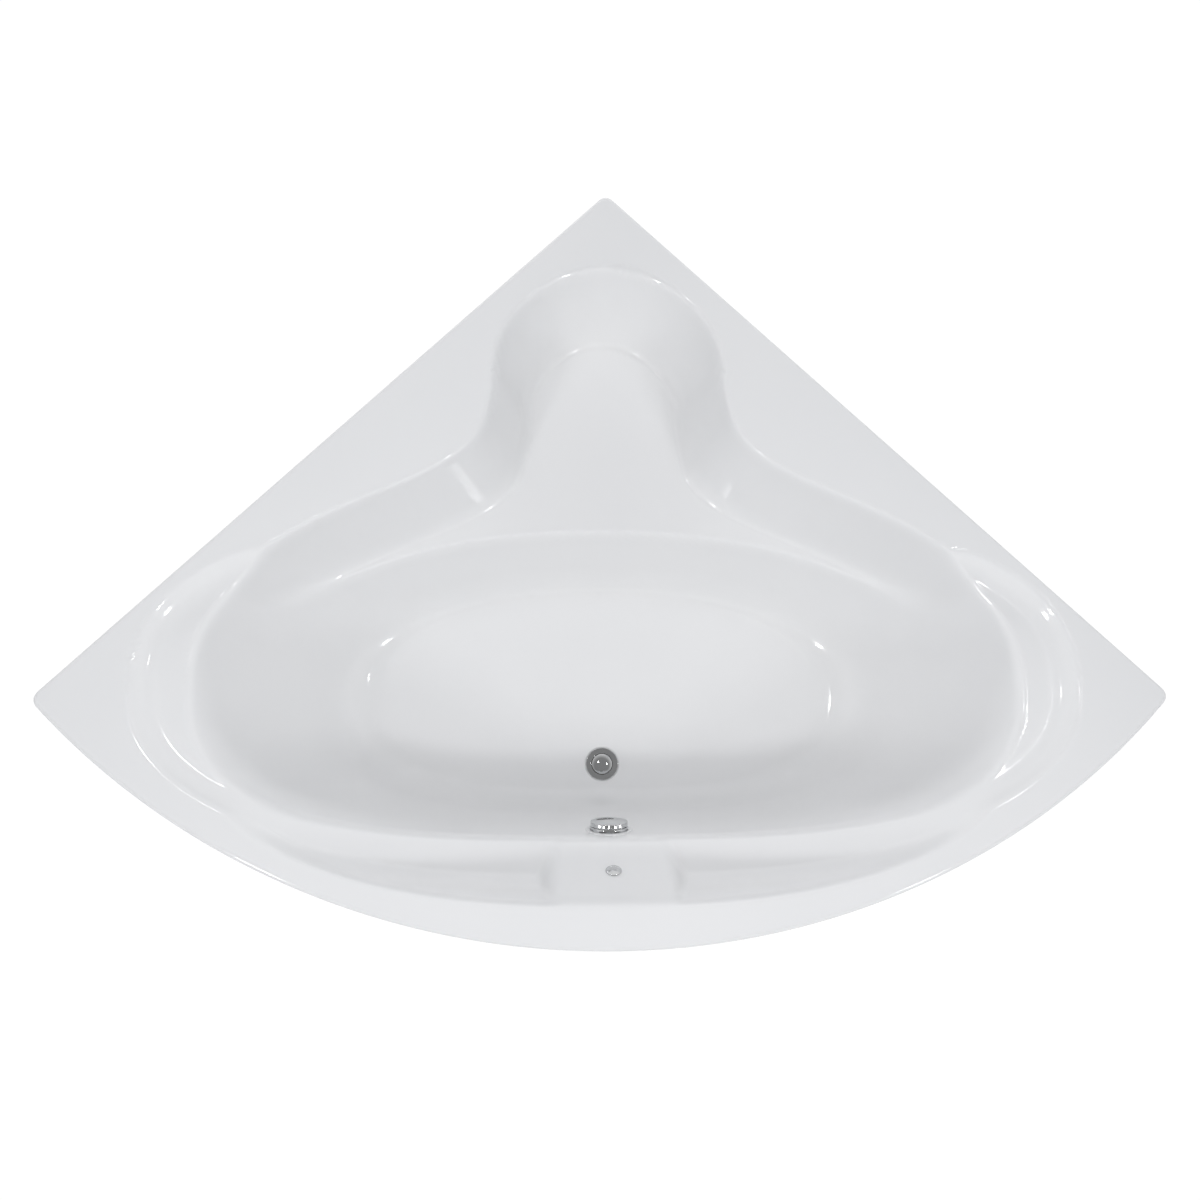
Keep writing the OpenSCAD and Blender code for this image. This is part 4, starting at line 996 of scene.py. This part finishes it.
def foot(name, x, y, top):
    body = "foot_" + name
    stem = threaded_rod("foot_stem_%s_rod" % name, 4 + GAP, top + 1.5, at(x, y, 0))
    finish(stem, "foot_stem_" + name, body)
    steps = 144
    flute = 0.9 * np.clip(1.4 * np.cos(24 * ring_angles(steps)), 0, 1)
    edge, flat, _ = hexagon(24.0, steps)
    bore = ROD_R + GAP
    rings = [(0, 0.6), (24, 0.6), (24.6, 0), (28.6, 0), (29.6, 0.5), (30 - flute, 1.4), (30 - flute, 4.2)]
    rings += [(29.2 - flute, 5), (26.5, 5.3), (22, 6.4), (17.5, 8.2), (14, 10.2), (edge, 10.6)]
    rings += [(edge, 13.4), (flat, 14), (bore + 0.6, 14), (bore, 13.4), (bore, 4), (0, 4)]
    pad = turned("foot_pad_%s_cup" % name, rings, MATS["pad_plastic"], at(x, y, 0), steps)
    finish(pad, "foot_pad_" + name, body)


def union(node, r, bore, h, place, end=0.0, ribs=24):
    """Union nut with ribs round it; with an end wall it is a cap."""
    steps = 240
    side = r * (0.955 + 0.045 * np.clip(1.6 * np.cos(ribs * ring_angles(steps)) + 0.3, 0, 1))
    rings = [(bore + 0.5, 0), (0.93 * r, 0), (0.955 * r, 0.6), (side, 1.2), (side, h - 2)]
    rings += [(0.95 * r, h - 0.8), (0.91 * r, h)]
    if end:
        rings = [(0, h - end), (bore, h - end), (bore, 0.5), *rings, (0, h)]
    else:
        rings += [(bore + 0.5, h), (bore, h - 0.5), (bore, 0.5)]
    piece = turned(node + "_union", rings, GREY, place, steps, close=not end)
    finish(piece, node)


def waste_body():
    profile = [(0, -93), (19.2, -93), (20, -92.2), (20, -70), *arc(34, -68, 2, -90, 0, 4)]
    for z in (-60, -47):
        profile += [(36, z), (35.3, z + 0.5), (35.3, z + 1.5), (36, z + 2)]
    profile += [*arc(34, -37, 2, 0, 90, 4), (30, -35), (30, -12.6), (41.5, -12.6), (42, -12.1), (42, -10.1)]
    profile += [(41.5, -9.6), (0, -9.6)]
    body = turned("waste_body_shell", profile, GREY, WASTE)
    inlet = along(WASTE, 0, 0, -53, "-y")
    spigot = rod("spigot", 13, 28, 50, GREY, inlet, 0.4)
    web = block("web", (21, -42, -52), (28, -20, -40), GREY, WASTE, 0.5)
    fuse(body, spigot, web, block("ear", (22, -42, -52), (42, -36, -22), GREY, WASTE, 0.8))
    cut(body, rod("neck", 24.8, -45, 0, GREY, WASTE), rod("chamber", 33, -67, -38, GREY, WASTE))
    cut(body, rod("outlet", 17, -94, -60, GREY, WASTE), rod("inlet", 10.5, 20, 60, GREY, inlet))
    cut(body, rod("lever", 3.3, -50, 50, GREY, along(WASTE, 0, -22, -44, "+x")))
    cut(body, rod("cable", 3.3, 30, 50, GREY, along(WASTE, 36, 0, -28, "-y")))
    finish(body, "waste_body")


def trap():
    profile = [(0, -149), *arc(39, -144, 5, -90, 0, 6), (44, -118), (43.3, -117.4), (43.3, -116.6)]
    profile += [(44, -116), *arc(40, -105, 4, 0, 90, 5), (23.4, -101), (23.4, -78), (22.6, -77), (0, -77)]
    body = turned("trap_body_pot", profile, WHITE, WASTE)
    outlet, port = along(WASTE, 0, 0, -123, "-x"), along(WASTE, 0, 0, -123, "-y")
    fuse(body, rod("stub", 19.4, 36, 76, WHITE, outlet, 0.4), rod("port", 17, 36, 52, WHITE, port, 0.4))
    cut(body, rod("inside", 41, -146, -104, WHITE, WASTE), rod("socket", 20.3, -120, -70, WHITE, WASTE))
    cut(body, rod("stub_bore", 17.5, 34, 84, WHITE, outlet), rod("port_bore", 14, 34, 64, WHITE, port))
    finish(body, "trap_body")
    union("trap_nut", 30, 23.7, 20, WASTE @ at(0, 0, -99))
    union("trap_clean_cap", 21, 17.3, 11, along(WASTE, 0, -44.6, -123, "-y"), 3.3, 16)
    union("outlet_nut", 27, 19.7, 26, along(WASTE, -90, 0, -123, "+x"))
    profile = [(18, 0.8), (18.8, 0), (19.2, 0), (20, 0.8), (20, 101.6), (19.4, 102), (19.4, 119.4)]
    profile += [(19, 119.7), (18, 119.7)]
    pipe = turned("outlet_pipe_tube", profile, WHITE, along(WASTE, -196, 0, -123, "+x"), close=True)
    finish(pipe, "outlet_pipe")


def overflow_body():
    profile = [(0, -41.5), *arc(28, -39.5, 2, -90, 0, 4), (30, -11.5), (34.6, -11.5), (35, -11.1)]
    body = turned("overflow_body_shell", profile + [(35, -8.9), (34.6, -8.5), (0, -8.5)], GREY, WALL)
    outlet = along(WALL, 0, 0, -25.5, "+y")
    boss = block("boss", (8, 22, -52.5), (20, 28, -34.5), GREY, WALL, 0.6)
    fuse(body, rod("spigot", 13, 24, 50, GREY, outlet, 0.4), boss)
    inside = rod("inside", 27, -38.5, -7.5, GREY, WALL)
    for s in (-1, 1):
        web = block("web", (s * 22 - 7, -2, -28.5), (s * 22 + 7, 2, -14.5), GREY, WALL)
        cut(inside, rod("post", 5, -28.5, -14.5, GREY, WALL @ at(16 * s, 0, 0)), web)
    cut(body, inside, rod("shaft", STEM_R + GAP, -48.5, -28.5, GREY, WALL))
    cut(body, *[rod("screw", 2.8, -33.5, -8, GREY, WALL @ at(16 * s, 0, 0)) for s in (-1, 1)])
    cut(body, rod("outlet", 10.5, 20, 70, GREY, outlet))
    cut(body, rod("cable", 3.3, 10, 40, GREY, along(WALL, 14, 0, -46.5, "+y")))
    finish(body, "overflow_body")


def point(matrix, x, y, z):
    return matrix @ (Vector((x, y, z)) * MM)


def hose_and_cable():
    start, end = point(WALL, 0, 50.3, -25.5), point(WASTE, 0, -50.3, -53)
    ribs, r = 66, 13.0
    points, run = bend(start, end, 14, 12, 95, 40, ribs * 8)
    span = run[-1] - 18
    phase = np.clip((run - 9) / span, 0, 1) * ribs
    radii = r - 2.2 * (0.5 - 0.5 * np.cos(2 * pi * phase)) ** 0.7
    tube = swept("overflow_hose_ribbed", points, radii, 9.4, WHITE, 32)
    finish(tube, "overflow_hose")
    union("hose_nut_upper", 17.5, 13.45, 18, along(WALL, 0, 41, -25.5, "+y"), ribs=18)
    union("hose_nut_lower", 17.5, 13.45, 18, along(WASTE, 0, -41, -53, "-y"), ribs=18)
    start, end = point(WALL, 14, 18, -46.5), point(WASTE, 36, -35, -28)
    points, run = bend(start, end, 16, 12, 110, 60, 160)
    ferrule = np.minimum(run, run[-1] - run) < 20
    cable = swept("pull_cable_sheath", points, np.where(ferrule, 3.0, 2.5), 1.0, MATS["cable_plastic"], 16)
    finish(cable, "pull_cable")


for rail, rail_y in (("rail_front", FRONT_Y), ("rail_rear", REAR_Y)):
    rail_holes = [(ROD_R, (-FOOT_X, FOOT_X)), (SCREW_R, SCREWS_X), (BOLT_R, (0,))]
    channel(rail, FOOT_X + 40, rail_y, RAIL_BOT, rail_holes)
channel("rail_seat", 115.0, SEAT_Y, SEAT_RAIL_BOT, [(ROD_R, (0,)), (SCREW_R, SEAT_SCREWS_X)])
spine()
for side, sign in (("left", -1), ("right", 1)):
    bracket("wall_bracket_%s_inner" % side, sign, 380.0)
    bracket("wall_bracket_%s_outer" % side, sign, 1330.0)
    batten("rim_batten_" + side, sign)
base_board()
seat_board()
nuts()
bolts()
wood_screws()
for label, spot in FEET.items():
    foot(label, *spot)
waste_body()
trap()
overflow_body()
hose_and_cable()

# Camera at the photograph's viewing angle
CAMERA_AT = Vector((-0.141, -0.69693, 2.789))
CAMERA_AIM = Vector((0.05198598, 0.25669731, -0.96509272))
CAMERA_UP = Vector((-0.00079458, 0.96640979, 0.25700483))


def camera():
    data = bpy.data.cameras.new("camera")
    data.sensor_width = 36
    data.lens = 36
    data.clip_end = 50
    obj = linked("camera", data)
    right = CAMERA_AIM.cross(CAMERA_UP).normalized()
    up = right.cross(CAMERA_AIM).normalized()
    turn = Matrix((right, up, -CAMERA_AIM.normalized())).transposed().to_4x4()
    obj.matrix_world = Matrix.Translation(CAMERA_AT) @ turn
    bpy.context.scene.camera = obj


# The floor lies just below the lowest that the feet screw to, so that it hides none of them
FOOT_DROP = 0.0205
FLOOR_HALF = 9.0
# Strengths of the light all round and of the floor's own white, and the share of that white in the picture
WORLD_LIGHT = 0.36
FLOOR_GLOW = 1.07
GLOW_SHARE = 0.9


def soft_light(name, place, aim, width, depth, power, mirrored=True):
    data = bpy.data.lights.new(name, "AREA")
    data.shape = "RECTANGLE"
    data.size, data.size_y = width, depth
    data.energy = power
    obj = linked(name, data)
    turn = (Vector(aim) - Vector(place)).to_track_quat("-Z", "Y")
    obj.matrix_world = Matrix.Translation(place) @ turn.to_matrix().to_4x4()
    obj.visible_camera = False
    obj.visible_glossy = mirrored


def seen(m):
    """1 where the camera looks, directly or in a mirror or through glass, and 0 for the light on surfaces."""
    path = m.node("ShaderNodeLightPath")
    total = path.outputs["Is Camera Ray"]
    for name in ("Is Glossy Ray", "Is Transmission Ray"):
        total = m.maths("ADD", total, path.outputs[name], clamp=True)
    return total


def ceiling(m):
    """White all round, and darker overhead for what mirrors there, as in a studio with a plain ceiling."""
    split = m.node("ShaderNodeSeparateXYZ")
    shade = m.node("ShaderNodeMapRange", **{"From Min": 0.45, "From Max": 0.8, "To Min": 1.0, "To Max": 0.3})
    pick = m.node("ShaderNodeMix", B=1.0)
    m.link(m.node("ShaderNodeTexCoord").outputs["Generated"], split.inputs[0])
    m.link(split.outputs["Z"], shade.inputs["Value"])
    m.link(m.node("ShaderNodeLightPath").outputs["Is Camera Ray"], pick.inputs["Factor"])
    m.link(shade.outputs["Result"], pick.inputs["A"])
    return pick.outputs["Result"]


def studio():
    soft_light("front_left", (-2.3, -2.4, 2.9), (0, -0.1, 0.5), 0.35, 0.6, 18.5)
    soft_light("front_right", (2.3, -2.4, 2.9), (0, -0.1, 0.5), 0.35, 0.6, 16.5)
    soft_light("front", (0.0, -2.4, 3.2), (0, -0.2, 0.4), 1.2, 0.3, 15, False)
    soft_light("overhead", (-0.1, -0.3, 2.9), (0, -0.1, 0.5), 2.4, 1.4, 16.5, False)
    soft_light("back", (0.0, 3.2, 1.3), (0, -0.4, 0.4), 2.0, 0.5, 25, False)
    # Two small lamps that only draw the long glints at both ends
    soft_light("streak_left", (-1.0, 0.63, 3.56), (-0.3, -0.3, 0.5), 0.3, 0.12, 4)
    soft_light("streak_right", (1.64, 0.07, 3.36), (0.7, -0.5, 0.5), 0.3, 0.12, 3.5)
    world = bpy.data.worlds.new("studio")
    bpy.context.scene.world = world
    world.use_nodes = True
    w = Tree(world.node_tree)
    lit = w.tree.nodes["Background"]
    lit.inputs["Color"].default_value = (0.93, 0.95, 1.0, 1)
    lit.inputs["Strength"].default_value = WORLD_LIGHT
    plain = w.node("ShaderNodeBackground", Color=(1, 1, 1, 1))
    mix = w.node("ShaderNodeMixShader")
    w.link(seen(w), mix.inputs["Fac"])
    w.link(ceiling(w), plain.inputs["Strength"])
    w.link(lit.outputs[0], mix.inputs[1])
    w.link(plain.outputs[0], mix.inputs[2])
    w.link(mix.outputs[0], w.tree.nodes["World Output"].inputs["Surface"])
    corners = [(x * FLOOR_HALF, y * FLOOR_HALF, -FOOT_DROP) for x, y in rectangle(-1, -1, 1, 1)]
    ground = new_object("floor", corners, [(0, 1, 2, 3)], [floor_paint()])


def floor_paint():
    """A pale floor that shows as white and still keeps the soft shadow, and is clear from below."""
    m = Nodes("floor_paint")
    m.set(Roughness=0.9)
    m.colour(m.noise(3.0), (0.3, (0.86, 0.86, 0.86)), (0.7, (0.88, 0.88, 0.88)))
    glow = m.node("ShaderNodeEmission", Strength=FLOOR_GLOW)
    mix, clear = m.node("ShaderNodeMixShader"), m.node("ShaderNodeMixShader")
    m.link(m.maths("MULTIPLY", seen(m), GLOW_SHARE), mix.inputs["Fac"])
    m.link(m.bsdf.outputs[0], mix.inputs[1])
    m.link(glow.outputs[0], mix.inputs[2])
    back, camera_ray = m.node("ShaderNodeNewGeometry"), m.node("ShaderNodeLightPath")
    below = m.maths("MULTIPLY", back.outputs["Backfacing"], camera_ray.outputs["Is Camera Ray"])
    m.link(below, clear.inputs["Fac"])
    m.link(mix.outputs[0], clear.inputs[1])
    m.link(m.node("ShaderNodeBsdfTransparent").outputs[0], clear.inputs[2])
    m.link(clear.outputs[0], m.tree.nodes["Material Output"].inputs["Surface"])
    return m.mat


camera()
studio()
bpy.context.scene.view_settings.view_transform = "Standard"
